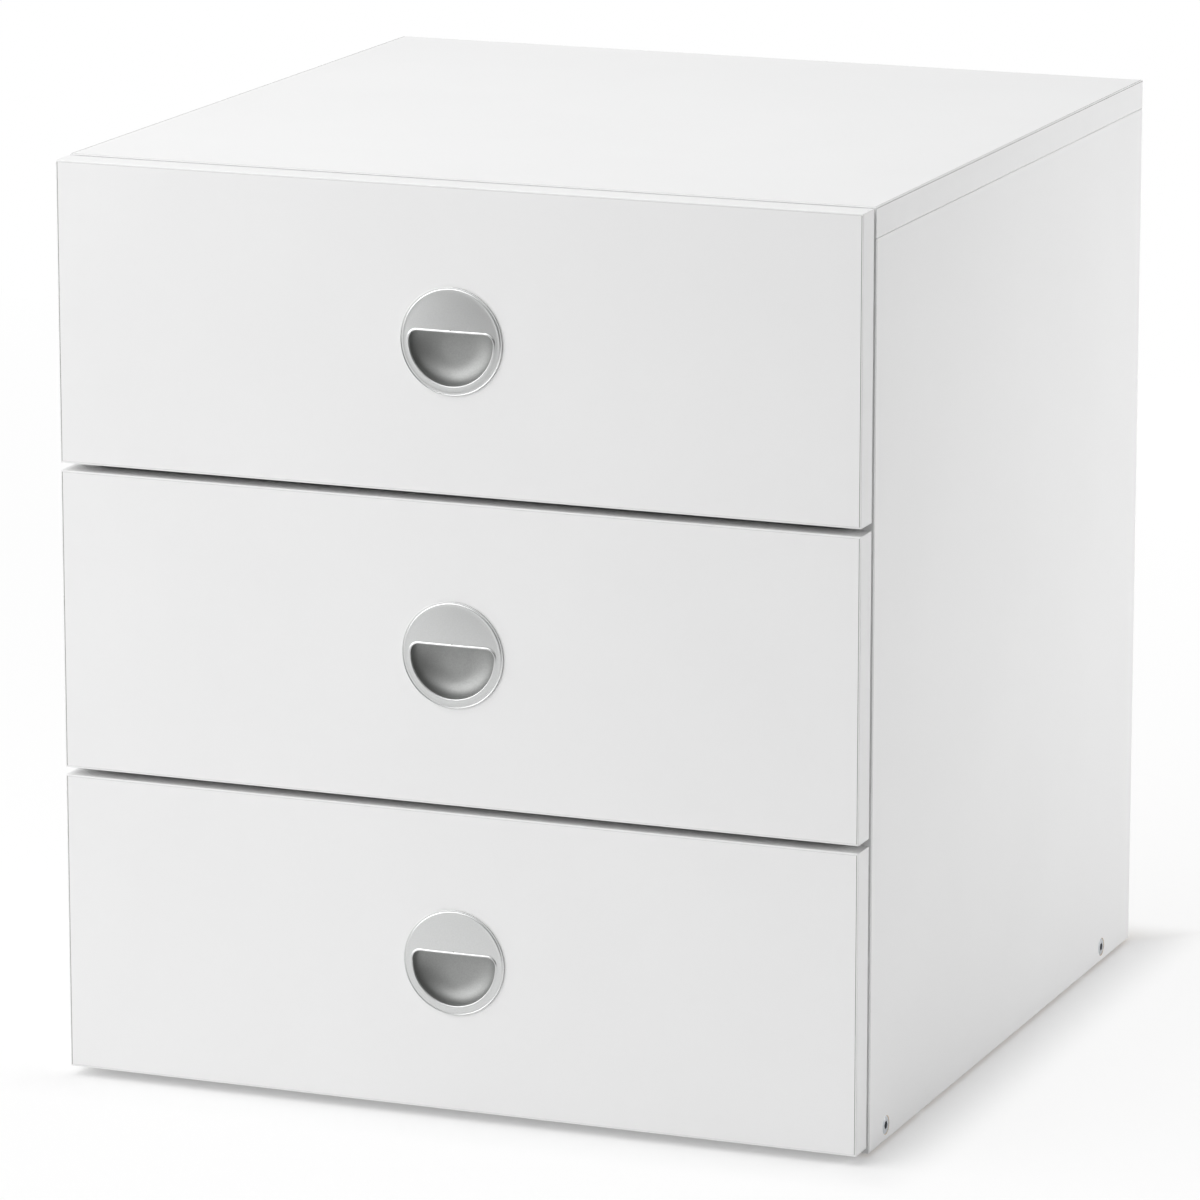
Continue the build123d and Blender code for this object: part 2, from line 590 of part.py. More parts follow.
def runner_screw():
    """Pan-head screw of the channels and rails."""
    return pan_head(RUNNER_SCREW_HEAD_DIAMETER, RUNNER_SCREW_HEAD_HEIGHT,
                    RUNNER_SCREW_DIAMETER, RUNNER_SCREW_LENGTH)


def drawer_nodes(name, front_z):
    """Every node of one drawer and of the runners that carry it."""
    base = front_z + BOX_LIFT
    track = track_height(front_z)
    sides = SIDES.values()
    cams = [seat for side in sides for seat in box_cam_seats(side, base)]
    back_screw = box_screw() - cross_recess(SCREW_DRIVE_LENGTH, SCREW_DRIVE_DEPTH)
    nodes = {
        "front": drawer_front(front_z),
        "back": box_back(base),
        "bottom": box_bottom_cutter(base, 0),
        "pull": pull_seat(front_z) * pull(),
        "cam_locks": group([seat * cam_lock(BOX_BOARD) for seat in cams]),
        "cam_bolts": group([seat * cam_bolt(BOX_BOARD) for seat in cams]),
        "box_screws": group([seat * back_screw for side in sides for seat in box_screw_seats(side, base)]),
        "rail_screws": group([seat * runner_screw() for side in sides
                              for seat in rail_screw_seats(side, base)]),
        "front_rollers": front_rollers(track),
        "rear_rollers": rear_rollers(track),
    }
    for word, side in SIDES.items():
        nodes[f"{word}_side"] = box_side(side, base)
        nodes[f"{word}_rail"] = rail(side, track, base)
        nodes[f"{word}_channel"] = runner_channel(side, track)
    return {f"{name}_drawer_{piece}": shape for piece, shape in nodes.items()}


def carcass_nodes(tracks):
    """Every node of the carcass apart from the runner channels."""
    sides = SIDES.values()
    nodes = {f"{word}_side_panel": side_panel(side, tracks) for word, side in SIDES.items()}
    cams = [seat for side in sides for seat in top_cam_seats(side)]
    dowel = rod(DOWEL_DIAMETER, 0, DOWEL_LENGTH)
    nodes["top_panel"] = top_panel()
    nodes["bottom_panel"] = bottom_panel()
    nodes["back_panel"] = back_panel()
    nodes["bottom_panel_screws"] = group([seat * connector_screw() for side in sides
                                          for seat in connector_seats(side)])
    nodes["top_panel_cam_locks"] = group([seat * cam_lock(BOARD) for seat in cams])
    nodes["top_panel_cam_bolts"] = group([seat * cam_bolt(BOARD) for seat in cams])
    nodes["top_panel_dowels"] = group([seat * dowel for side in sides for seat in dowel_seats(side)])
    nodes["back_panel_nails"] = group([seat * nail() for seat in nail_seats()])
    nodes["floor_glides"] = group([seat * glide() for side in sides for seat in glide_seats(side)])
    nodes["channel_screws"] = group([seat * runner_screw() for track in tracks for side in sides
                                     for seat in channel_screw_seats(side, track)])
    return nodes


front_heights = {name: LOWEST_FRONT + i * FRONT_PITCH for i, name in enumerate(DRAWERS)}
unit = carcass_nodes([track_height(z) for z in front_heights.values()])
for drawer, height in front_heights.items():
    unit.update(drawer_nodes(drawer, height))

os.makedirs("parts", exist_ok=True)
for node, shape in unit.items():
    export_step(shape, f"parts/{node}.step")
print(len(unit), "nodes; fronts", round(FRONT_HEIGHT, 2), "high; boxes", round(BOX_HEIGHT, 2), "high")
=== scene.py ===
"""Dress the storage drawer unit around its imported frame: boards, pulls, fittings, light and camera."""
import logging
import math
from collections.abc import Iterable, Sequence
from dataclasses import dataclass, field
from enum import Enum

import bmesh
import bpy
from bmesh.types import BMesh, BMVert
from bpy.types import Material, Node, NodeSocket, NodeTree, Object
from mathutils import Matrix, Vector


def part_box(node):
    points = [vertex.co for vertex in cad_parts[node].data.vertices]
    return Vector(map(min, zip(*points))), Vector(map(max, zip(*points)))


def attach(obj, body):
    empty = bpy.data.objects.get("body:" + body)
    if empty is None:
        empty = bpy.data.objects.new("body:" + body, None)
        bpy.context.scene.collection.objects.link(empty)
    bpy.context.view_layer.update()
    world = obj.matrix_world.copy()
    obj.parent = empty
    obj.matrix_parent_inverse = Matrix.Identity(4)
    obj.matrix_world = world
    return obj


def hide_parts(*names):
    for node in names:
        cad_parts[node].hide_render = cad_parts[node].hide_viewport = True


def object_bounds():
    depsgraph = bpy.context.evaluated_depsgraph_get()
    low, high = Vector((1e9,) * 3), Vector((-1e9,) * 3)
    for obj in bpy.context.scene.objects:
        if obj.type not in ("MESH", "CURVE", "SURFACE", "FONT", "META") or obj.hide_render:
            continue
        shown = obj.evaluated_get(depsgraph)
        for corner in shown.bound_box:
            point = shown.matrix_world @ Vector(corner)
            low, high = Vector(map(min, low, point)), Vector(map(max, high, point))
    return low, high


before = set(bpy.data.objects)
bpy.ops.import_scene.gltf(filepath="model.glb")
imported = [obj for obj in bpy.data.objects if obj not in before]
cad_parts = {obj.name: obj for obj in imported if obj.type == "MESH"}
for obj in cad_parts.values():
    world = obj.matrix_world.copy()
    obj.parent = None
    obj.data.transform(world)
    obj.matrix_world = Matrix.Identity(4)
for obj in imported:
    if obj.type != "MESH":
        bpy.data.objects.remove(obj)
CAD_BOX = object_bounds()

MM = 0.001
DRAWERS = ("bottom", "middle", "top")
SIDES = ("left", "right")
WELD = 1e-6
WHITE = "#FFFFFF"
Spot = tuple[float, float]
Place = tuple[float, float, float]
log = logging.getLogger("drawer unit")


def linear(code: str) -> tuple[float, float, float, float]:
    """Turn an sRGB hex value into linear colour.

    Args:
        code: Colour as #RRGGBB.

    Returns:
        Linear red, green and blue, and full alpha.
    """
    parts = [int(code[i:i + 2], 16) / 255 for i in (1, 3, 5)]
    red, green, blue = (c / 12.92 if c <= 0.04045 else ((c + 0.055) / 1.055) ** 2.4 for c in parts)
    return red, green, blue, 1.0


def per_metre(size_mm: float) -> float:
    """Give the texture scale whose features are about that many millimetres wide."""
    return 1.0 / (size_mm * MM)


def feed(node: Node, feeds: dict[str | int, object]) -> None:
    """Give a node's inputs their values and links.

    Args:
        node: Node to feed.
        feeds: Value or source socket for its inputs, by name or number.
    """
    for key, value in feeds.items():
        if isinstance(value, NodeSocket):
            node.id_data.links.new(value, node.inputs[key])
        else:
            node.inputs[key].default_value = value


def add_node(tree: NodeTree, kind: str, feeds: dict[str | int, object] | None = None,
             **settings: object) -> Node:
    """Add a node with its settings, values and links.

    Args:
        tree: Tree that gets the node.
        kind: Blender's name for the type of node.
        feeds: Value or source socket for the node's inputs, by name or number.
        **settings: Properties of the node itself.

    Returns:
        The new node.
    """
    node = tree.nodes.new(kind)
    for name, value in settings.items():
        setattr(node, name, value)
    feed(node, feeds or {})
    return node


def reckon(tree: NodeTree, operation: str, *values: object) -> NodeSocket:
    """Add a Math node that works on values or sockets, and give the socket of its result."""
    return add_node(tree, "ShaderNodeMath", dict(enumerate(values)), operation=operation).outputs[0]


class MixSocket(int, Enum):
    """Numbers of the colour sockets on a Mix node."""

    FACTOR = 0
    FIRST = 6
    SECOND = 7
    RESULT = 2


class Coating:
    """Node tree of one material: its shader, and the patterns that feed it."""

    def __init__(self, material: Material) -> None:
        """Start the tree with a shader, its output and texture coordinates.

        Args:
            material: Material that gets the nodes.
        """
        material.use_nodes = True
        self.tree = material.node_tree
        self.tree.nodes.clear()
        self.shader = add_node(self.tree, "ShaderNodeBsdfPrincipled")
        surface = {"Surface": self.shader.outputs["BSDF"]}
        self.output = add_node(self.tree, "ShaderNodeOutputMaterial", surface)
        coords = add_node(self.tree, "ShaderNodeTexCoord").outputs
        self.place, self.facing = coords["Object"], coords["Normal"]

    def noise(self, size_mm: float, detail: float = 2.0, rough: float = 0.5) -> Node:
        """Add noise with patches that wide, and with that number and strength of finer layers."""
        feeds = {"Vector": self.place, "Scale": per_metre(size_mm), "Detail": detail, "Roughness": rough}
        return add_node(self.tree, "ShaderNodeTexNoise", feeds)

    def cells(self, size_mm: float, scatter: float = 1.0) -> Node:
        """Add Voronoi cells that wide, on a square grid (0) or scattered freely (1)."""
        feeds = {"Vector": self.place, "Scale": per_metre(size_mm), "Randomness": scatter}
        return add_node(self.tree, "ShaderNodeTexVoronoi", feeds)

    def mix(self, factor: NodeSocket, first: object, second: object) -> NodeSocket:
        """Mix two colours or sockets by the share of the second, and give the socket of the mixture."""
        feeds = {MixSocket.FACTOR: factor, MixSocket.FIRST: first, MixSocket.SECOND: second}
        return add_node(self.tree, "ShaderNodeMix", feeds, data_type="RGBA").outputs[MixSocket.RESULT]

    def spread(self, value: NodeSocket, span: Spot, onto: Spot, curve: str = "LINEAR") -> NodeSocket:
        """Spread a part of a pattern over another range.

        Args:
            value: The pattern.
            span: Lower and upper end of the part.
            onto: What the two ends become.
            curve: How the values between them run.

        Returns:
            Socket of the new values.
        """
        feeds = {"Value": value, "From Min": span[0], "From Max": span[1],
                 "To Min": onto[0], "To Max": onto[1]}
        return add_node(self.tree, "ShaderNodeMapRange", feeds, interpolation_type=curve).outputs["Result"]

    def raise_by(self, height: NodeSocket, strength: float, depth_mm: float) -> None:
        """Give the surface a relief of that depth after a pattern, with the share of it that shows."""
        feeds = {"Height": height, "Strength": strength, "Distance": depth_mm * MM}
        feed(self.shader, {"Normal": add_node(self.tree, "ShaderNodeBump", feeds).outputs["Normal"]})


@dataclass(frozen=True)
class Finish:
    """What every finish shares: a name, and the way that its material is made."""

    name: str

    def make(self) -> Material:
        """Make the material of the finish.

        Returns:
            The material.
        """
        material = bpy.data.materials.new(self.name)
        self.coat(Coating(material))
        return material

    def coat(self, nodes: Coating) -> None:
        """Feed the shader, which each finish does in its own way."""
        raise NotImplementedError


@dataclass(frozen=True)
class GrainedFinish(Finish):
    """Even surface of two close tones, with a fine grain in its sheen and relief."""

    light: str
    deep: str
    grain_mm: float = 2.0
    grain_detail: float = 2.0
    cloud_mm: float | None = None               # patches of the two tones, None where they follow the grain
    cloud_detail: float = 2.0
    cloud_rough: float = 0.5
    smooth: float = 0.7                         # least roughness
    dull: float = 0.7                           # most roughness
    span: Spot = (0.0, 1.0)                     # part of the grain that the roughness spreads over
    relief: float = 0.0                         # share of the relief that shows
    relief_mm: float = 0.03
    metallic: float = 0.0

    def coat(self, nodes: Coating) -> None:
        """Feed the shader with the tones, the sheen and the relief.

        Args:
            nodes: Node tree of the material.
        """
        grain = nodes.noise(self.grain_mm, self.grain_detail).outputs["Fac"]
        cloud = grain
        if self.cloud_mm:
            cloud = nodes.noise(self.cloud_mm, self.cloud_detail, self.cloud_rough).outputs["Fac"]
        sheen = self.smooth
        if self.dull > self.smooth:
            sheen = nodes.spread(grain, self.span, (self.smooth, self.dull))
        tone = nodes.mix(cloud, linear(self.light), linear(self.deep))
        feed(nodes.shader, {"Base Color": tone, "Roughness": sheen, "Metallic": self.metallic})
        if self.relief:
            nodes.raise_by(grain, self.relief, self.relief_mm)


@dataclass(frozen=True)
class MelamineFacing(GrainedFinish):
    """Resin-soaked paper pressed on board against a pearl plate: clean white, softly broken sheen."""

    name: str = "white melamine facing"
    light: str = "#F1F1F1"
    deep: str = "#EDEDED"
    grain_mm: float = 1.8           # really about 0.5 mm, drawn coarser so that it shows
    grain_detail: float = 1.0
    cloud_mm: float | None = 110.0
    smooth: float = 0.40
    dull: float = 0.48
    span: Spot = (0.3, 0.7)
    relief: float = 0.12


@dataclass(frozen=True)
class EdgeBand(GrainedFinish):
    """ABS strip ironed on the cut edges: a touch smoother and greyer than the facing, faintly cloudy."""

    name: str = "white abs edge band"
    light: str = "#F0F0F0"
    deep: str = "#EAEAEA"
    grain_mm: float = 2.5
    cloud_mm: float | None = 60.0
    cloud_detail: float = 6.0
    cloud_rough: float = 0.7
    smooth: float = 0.30
    dull: float = 0.42
    relief: float = 0.10


@dataclass(frozen=True)
class GlueLine(GrainedFinish):
    """Hot-melt glue that shows as a hairline between band and facing: grey, a little dusty, matt."""

    name: str = "edge glue line"
    light: str = "#8E8E88"
    deep: str = "#5F5F5A"
    grain_mm: float = 25.0
    grain_detail: float = 3.0


@dataclass(frozen=True)
class FlagCloth(GrainedFinish):
    """Dyed cotton on a studio flag: nearly black and matt, a little uneven."""

    name: str = "dark flag cloth"
    light: str = "#2C2C2C"
    deep: str = "#242424"
    grain_mm: float = 25.0
    grain_detail: float = 3.0


@dataclass(frozen=True)
class SilverLacquer(GrainedFinish):
    """Moulded ABS sprayed with silver lacquer: satin, finely flaked, with soft broad reflections."""

    name: str = "satin silver lacquer"
    light: str = "#D8D9D9"
    deep: str = "#CCCDCC"
    grain_mm: float = 0.7           # really under 0.1 mm, drawn coarser so that it shows
    smooth: float = 0.30
    dull: float = 0.38
    span: Spot = (0.3, 0.7)
    relief: float = 0.08
    relief_mm: float = 0.02
    metallic: float = 0.9


@dataclass(frozen=True)
class ShadedCupLacquer(SilverLacquer):
    """The same lacquer inside the cup, with a duller sheen and a greyer colour that is painted shade of the
    recess.
    """

    name: str = "dull silver lacquer with painted shade"
    # the greyer tones are painted shade of the cup
    light: str = "#ACADAC"
    deep: str = "#9E9F9E"
    smooth: float = 0.50
    dull: float = 0.58


@dataclass(frozen=True)
class ZincPlate(GrainedFinish):
    """Bright zinc on turned steel: grey, mirror-like in patches, faintly blue from its passivation."""

    name: str = "bright zinc plate"
    light: str = "#D3D5D8"
    deep: str = "#A3A8AD"
    grain_detail: float = 3.0
    smooth: float = 0.20
    dull: float = 0.42
    metallic: float = 1.0


@dataclass(frozen=True)
class PowderCoat(GrainedFinish):
    """White epoxy powder baked on pressed steel: even white with a fine orange peel."""

    name: str = "white epoxy powder coat"
    light: str = "#EFEFED"
    deep: str = "#E6E6E3"
    grain_mm: float = 2.2
    grain_detail: float = 1.0
    smooth: float = 0.26
    dull: float = 0.38
    relief: float = 0.3
    relief_mm: float = 0.06


@dataclass(frozen=True)
class MouldedPlastic(GrainedFinish):
    """Natural nylon or polyethylene from the mould: milky, waxy, with a fine eroded skin."""

    name: str = "natural nylon"
    light: str = "#E9E7DF"
    deep: str = "#DAD8CE"
    grain_mm: float = 0.9
    smooth: float = 0.4
    dull: float = 0.5
    relief: float = 0.15
    relief_mm: float = 0.04
    milky: float = 0.15
    glow_mm: Place = (1.0, 0.8, 0.6)            # how far red, green and blue light go inside

    def coat(self, nodes: Coating) -> None:
        """Feed the shader as any grained finish, with a little light inside it.

        Args:
            nodes: Node tree of the material.
        """
        super().coat(nodes)
        feed(nodes.shader, {"Subsurface Weight": self.milky, "Subsurface Scale": 1.0,
                            "Subsurface Radius": [reach * MM for reach in self.glow_mm]})


@dataclass(frozen=True)
class ParticleBoard(Finish):
    """Sawn particle board where no band covers it: pressed chips in three browns, rough to the touch."""

    name: str = "raw particle board"
    light: str = "#D2B78C"
    deep: str = "#B8966A"
    dark: str = "#8C6A45"
    chip_mm: float = 2.4
    pit_mm: float = 0.25

    def coat(self, nodes: Coating) -> None:
        """Feed the shader with chips of three browns that have torn edges.

        Args:
            nodes: Node tree of the material.
        """
        torn = nodes.noise(self.chip_mm, 4.0).outputs["Fac"]
        chips = nodes.cells(self.chip_mm).outputs["Color"]
        tone = add_node(nodes.tree, "ShaderNodeSeparateColor", {"Color": chips}).outputs["Red"]
        wood = nodes.mix(tone, linear(self.light), linear(self.deep))
        brown = nodes.mix(nodes.spread(torn, (0.5, 0.8), (0.0, 1.0)), wood, linear(self.dark))
        feed(nodes.shader, {"Base Color": brown, "Roughness": 0.85})
        nodes.raise_by(torn, 0.6, self.pit_mm)


@dataclass(frozen=True)
class Hardboard(Finish):
    """Wet-pressed fibre board: white lacquer on both faces over a screen's weave, brown where cut."""

    name: str = "lacquered hardboard"
    light: str = "#EFEFED"
    deep: str = "#E7E7E4"
    brown: str = "#8A6444"
    screen_mm: float = 1.9
    weave_mm: float = 0.12
    fibre_mm: float = 6.0
    thin: str = "Y"                             # axis of its thickness

    def coat(self, nodes: Coating) -> None:
        """Feed the shader with lacquer on the faces and brown fibre on the cut edges.

        Args:
            nodes: Node tree of the material.
        """
        fibre = nodes.noise(self.fibre_mm, 5.0).outputs["Fac"]
        white = nodes.mix(fibre, linear(self.light), linear(self.deep))
        across = add_node(nodes.tree, "ShaderNodeSeparateXYZ", {"Vector": nodes.facing}).outputs[self.thin]
        cut = reckon(nodes.tree, "LESS_THAN", reckon(nodes.tree, "ABSOLUTE", across), 0.5)
        feed(nodes.shader, {"Base Color": nodes.mix(cut, white, linear(self.brown)), "Roughness": 0.5})
        nodes.raise_by(nodes.cells(self.screen_mm, 0.0).outputs["Distance"], 0.25, self.weave_mm)


@dataclass(frozen=True)
class Beech(Finish):
    """Turned beech: pinkish straw with short dark flecks along the grain."""

    name: str = "turned beech"
    light: str = "#D8B48A"
    deep: str = "#B98C5C"
    grain_mm: float = 0.8
    along: float = 0.12                         # pattern's scale along the grain against across it

    def coat(self, nodes: Coating) -> None:
        """Feed the shader with flecks that are drawn out along the dowel.

        Args:
            nodes: Node tree of the material.
        """
        drawn = {"Vector": nodes.place, "Scale": (1.0, 1.0, self.along)}
        grain = nodes.noise(self.grain_mm, 3.0)
        feed(grain, {"Vector": add_node(nodes.tree, "ShaderNodeMapping", drawn).outputs["Vector"]})
        wood = nodes.mix(grain.outputs["Fac"], linear(self.light), linear(self.deep))
        feed(nodes.shader, {"Base Color": wood, "Roughness": 0.6})


def seen_rays(tree: NodeTree) -> NodeSocket:
    """Tell rays that show a surface, directly or in metal or glass, from rays that light the object.

    Args:
        tree: Tree that gets the nodes.

    Returns:
        Socket that is 1 for camera, glossy and transmission rays, and 0 for the rest.
    """
    path = add_node(tree, "ShaderNodeLightPath").outputs
    shiny = reckon(tree, "MAXIMUM", path["Is Camera Ray"], path["Is Glossy Ray"])
    return reckon(tree, "MAXIMUM", shiny, path["Is Transmission Ray"])


@dataclass(frozen=True)
class SeamlessPaper(Finish):
    """Roll of matt white studio paper: bright white, with the object's own shadow on it, lifted by painted
    white glow that grows away from the object.
    """

    name: str = "white studio paper with painted glow"
    white: str = "#FAFAFA"
    grain_mm: float = 3.0
    tooth_mm: float = 0.05
    # painted light: the plain white is emitted glow that lifts the object's shadow, least under it and more
    # further off
    under: float = 0.3                          # share of plain white under the object, where the shadow lies
    near: float = 0.85                          # share of plain white beside it
    rim_mm: float = 45.0                        # width of the step between the two
    far_mm: float = 1600.0                      # plain white from here on

    def coat(self, nodes: Coating) -> None:
        """Feed the shader, and mix in painted white glow for the camera and in reflections, weak under the
        object and growing away from it, which fades its shadow.

        Args:
            nodes: Node tree of the material.
        """
        tree = nodes.tree
        nodes.raise_by(nodes.noise(self.grain_mm).outputs["Fac"], 0.05, self.tooth_mm)
        feed(nodes.shader, {"Base Color": linear(self.white), "Roughness": 1.0, "Specular IOR Level": 0.0})
        parts = add_node(tree, "ShaderNodeSeparateXYZ", {"Vector": nodes.place}).outputs
        gaps = [reckon(tree, "SUBTRACT", reckon(tree, "ABSOLUTE", parts[axis]), half)
                for axis, half in zip("XY", CAD_BOX[1])]
        gap = reckon(tree, "MAXIMUM", *gaps)
        rim, far = self.rim_mm * MM, self.far_mm * MM
        # painted light: the glow share grows with the distance from the unit, so that its shadow fades out
        close = nodes.spread(gap, (0.0, rim), (self.under, self.near), "SMOOTHSTEP")
        away = nodes.spread(gap, (rim, far), (0.0, 1.0 - self.near))
        painted_glow = reckon(tree, "MULTIPLY", reckon(tree, "ADD", close, away), seen_rays(tree))
        plain = add_node(tree, "ShaderNodeEmission", {"Color": linear(WHITE), "Strength": 1.0})
        both = add_node(tree, "ShaderNodeMixShader", {0: painted_glow, 1: nodes.shader.outputs["BSDF"],
                                                      2: plain.outputs["Emission"]})
        feed(nodes.output, {"Surface": both.outputs["Shader"]})


@dataclass
class Palette:
    """Every material of the unit, made once."""

    facing: Material
    band: Material
    glue: Material
    raw: Material
    silver: Material
    # lacquer of the cup, darkened as painted shade
    cup: Material
    zinc: Material
    coat: Material
    nylon: Material
    glide: Material
    back: Material
    box_floor: Material
    beech: Material

    @classmethod
    def mixed(cls) -> "Palette":
        """Make every finish.

        Returns:
            The materials.
        """
        glide = MouldedPlastic("glide polyethylene", "#E4E4E0", "#D6D6D0")
        box_floor = Hardboard("lacquered hardboard laid flat", thin="Z")
        finishes = dict(
            facing=MelamineFacing(), band=EdgeBand(), glue=GlueLine(), raw=ParticleBoard(),
            silver=SilverLacquer(), cup=ShadedCupLacquer(), zinc=ZincPlate(), coat=PowderCoat(),
            nylon=MouldedPlastic(), glide=glide, back=Hardboard(), box_floor=box_floor, beech=Beech())
        return cls(**{name: finish.make() for name, finish in finishes.items()})


def new_object(name: str, shape: BMesh, materials: Sequence[Material]) -> Object:
    """Put a finished bmesh into the scene.

    Args:
        name: Name of the piece.
        shape: Its mesh, which is freed.
        materials: Materials by the number that the faces carry.

    Returns:
        The new object.
    """
    mesh = bpy.data.meshes.new(name)
    shape.to_mesh(mesh)
    shape.free()
    for material in materials:
        mesh.materials.append(material)
    piece = bpy.data.objects.new(name, mesh)
    bpy.context.scene.collection.objects.link(piece)
    return piece


def make_plain(piece: Object) -> None:
    """Turn a piece's modifiers into plain geometry.

    Args:
        piece: Piece with modifiers.
    """
    graph = bpy.context.evaluated_depsgraph_get()
    mesh = bpy.data.meshes.new_from_object(piece.evaluated_get(graph), preserve_all_data_layers=True,
                                           depsgraph=graph)
    piece.modifiers.clear()
    piece.data = mesh


def smooth_rounds(piece: Object, crease_deg: float = 35.0) -> None:
    """Shade rounded edges softly and keep broad faces flat.

    Args:
        piece: Piece to shade.
        crease_deg: Edges sharper than this stay sharp.
    """
    piece.data.polygons.foreach_set("use_smooth", [True] * len(piece.data.polygons))
    piece.data.set_sharp_from_angle(angle=math.radians(crease_deg))
    weighted = piece.modifiers.new("weighted normals", "WEIGHTED_NORMAL")
    weighted.keep_sharp = True
    make_plain(piece)


def lies_square(normal: Vector) -> bool:
    """Tell whether a face lies square to an axis."""
    return max(map(abs, normal)) > 0.9999


def true_flats(piece: Object, turn_deg: float = 50.0) -> None:
    """Give a board's flat faces exact normals, and let its rounds blend from one face to the next.

    Args:
        piece: Board whose flat faces lie along the axes.
        turn_deg: A round takes over a neighbour's normal only within this turn.
    """
    mesh = piece.data
    limit = math.cos(math.radians(turn_deg))
    faces = [face.normal.copy() for face in mesh.polygons]
    flat = [lies_square(normal) for normal in faces]
    around: list[list[int]] = [[] for _ in mesh.vertices]
    for face in mesh.polygons:
        for vert in face.vertices:
            around[vert].append(face.index)
    normals = []
    for face in mesh.polygons:
        own = faces[face.index]
        for vert in face.vertices:
            if flat[face.index]:
                normals.append(own)
                continue
            near = [i for i in around[vert] if faces[i].dot(own) > limit]
            even = [i for i in near if flat[i]]
            if even:
                normals.append(faces[max(even, key=lambda i: faces[i].dot(own))])
            else:
                normals.append(sum((faces[i] for i in near), Vector()).normalized())
    mesh.polygons.foreach_set("use_smooth", [True] * len(mesh.polygons))
    mesh.normals_split_custom_set(normals)


def settle(piece: Object, body: str, node: str) -> None:
    """Hand a finished piece to the frame.

    Args:
        piece: Finished piece.
        body: Body that it moves with.
        node: CAD node that it stands for.
    """
    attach(piece, body)
    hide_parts(node)
    log.info("%s: %d faces on %s", piece.name, len(piece.data.polygons), body)


def dress(node: str, material: Material) -> None:
    """Give a CAD node that stays a finer material."""
    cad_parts[node].material_slots[0].material = material
    log.info("%s: kept, in %s", node, material.name)


def merged_copy(node: str) -> BMesh:
    """Copy a CAD node's mesh and weld its loose triangles.

    Args:
        node: CAD node.

    Returns:
        The welded mesh.
    """
    shape = bmesh.new()
    shape.from_mesh(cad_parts[node].data)
    bmesh.ops.remove_doubles(shape, verts=shape.verts, dist=WELD)
    return shape


def islands(shape: BMesh) -> list[list[BMVert]]:
    """Split a welded mesh into its separate solids.

    Args:
        shape: Welded mesh.

    Returns:
        Vertices of each solid.
    """
    found, seen = [], set()
    for start in shape.verts:
        if start in seen:
            continue
        seen.add(start)
        solid, todo = [], [start]
        while todo:
            vert = todo.pop()
            solid.append(vert)
            for edge in vert.link_edges:
                other = edge.other_vert(vert)
                if other not in seen:
                    seen.add(other)
                    todo.append(other)
        found.append(solid)
    return found


def corners(verts: Iterable[BMVert]) -> tuple[Vector, Vector]:
    """Find the box around some vertices.

    Args:
        verts: The vertices.

    Returns:
        Its lowest and highest corner.
    """
    spots = [vert.co for vert in verts]
    return (Vector(min(spot[i] for spot in spots) for i in range(3)),
            Vector(max(spot[i] for spot in spots) for i in range(3)))


class Edge(Enum):
    """Edges of a board, each as its axis and the side of it."""

    LEFT = (0, -1)
    RIGHT = (0, 1)
    FRONT = (1, -1)
    REAR = (1, 1)
    LOWER = (2, -1)
    UPPER = (2, 1)

    @property
    def axis(self) -> int:
        """Number of the axis that the edge looks along."""
        return self.value[0]

    @property
    def side(self) -> int:
        """Which way the edge looks along its axis, -1 or 1."""
        return self.value[1]


class Skin(int, Enum):
    """Numbers of a board's materials."""

    FACING = 0
    BAND = 1
    GLUE = 2
    RAW = 3


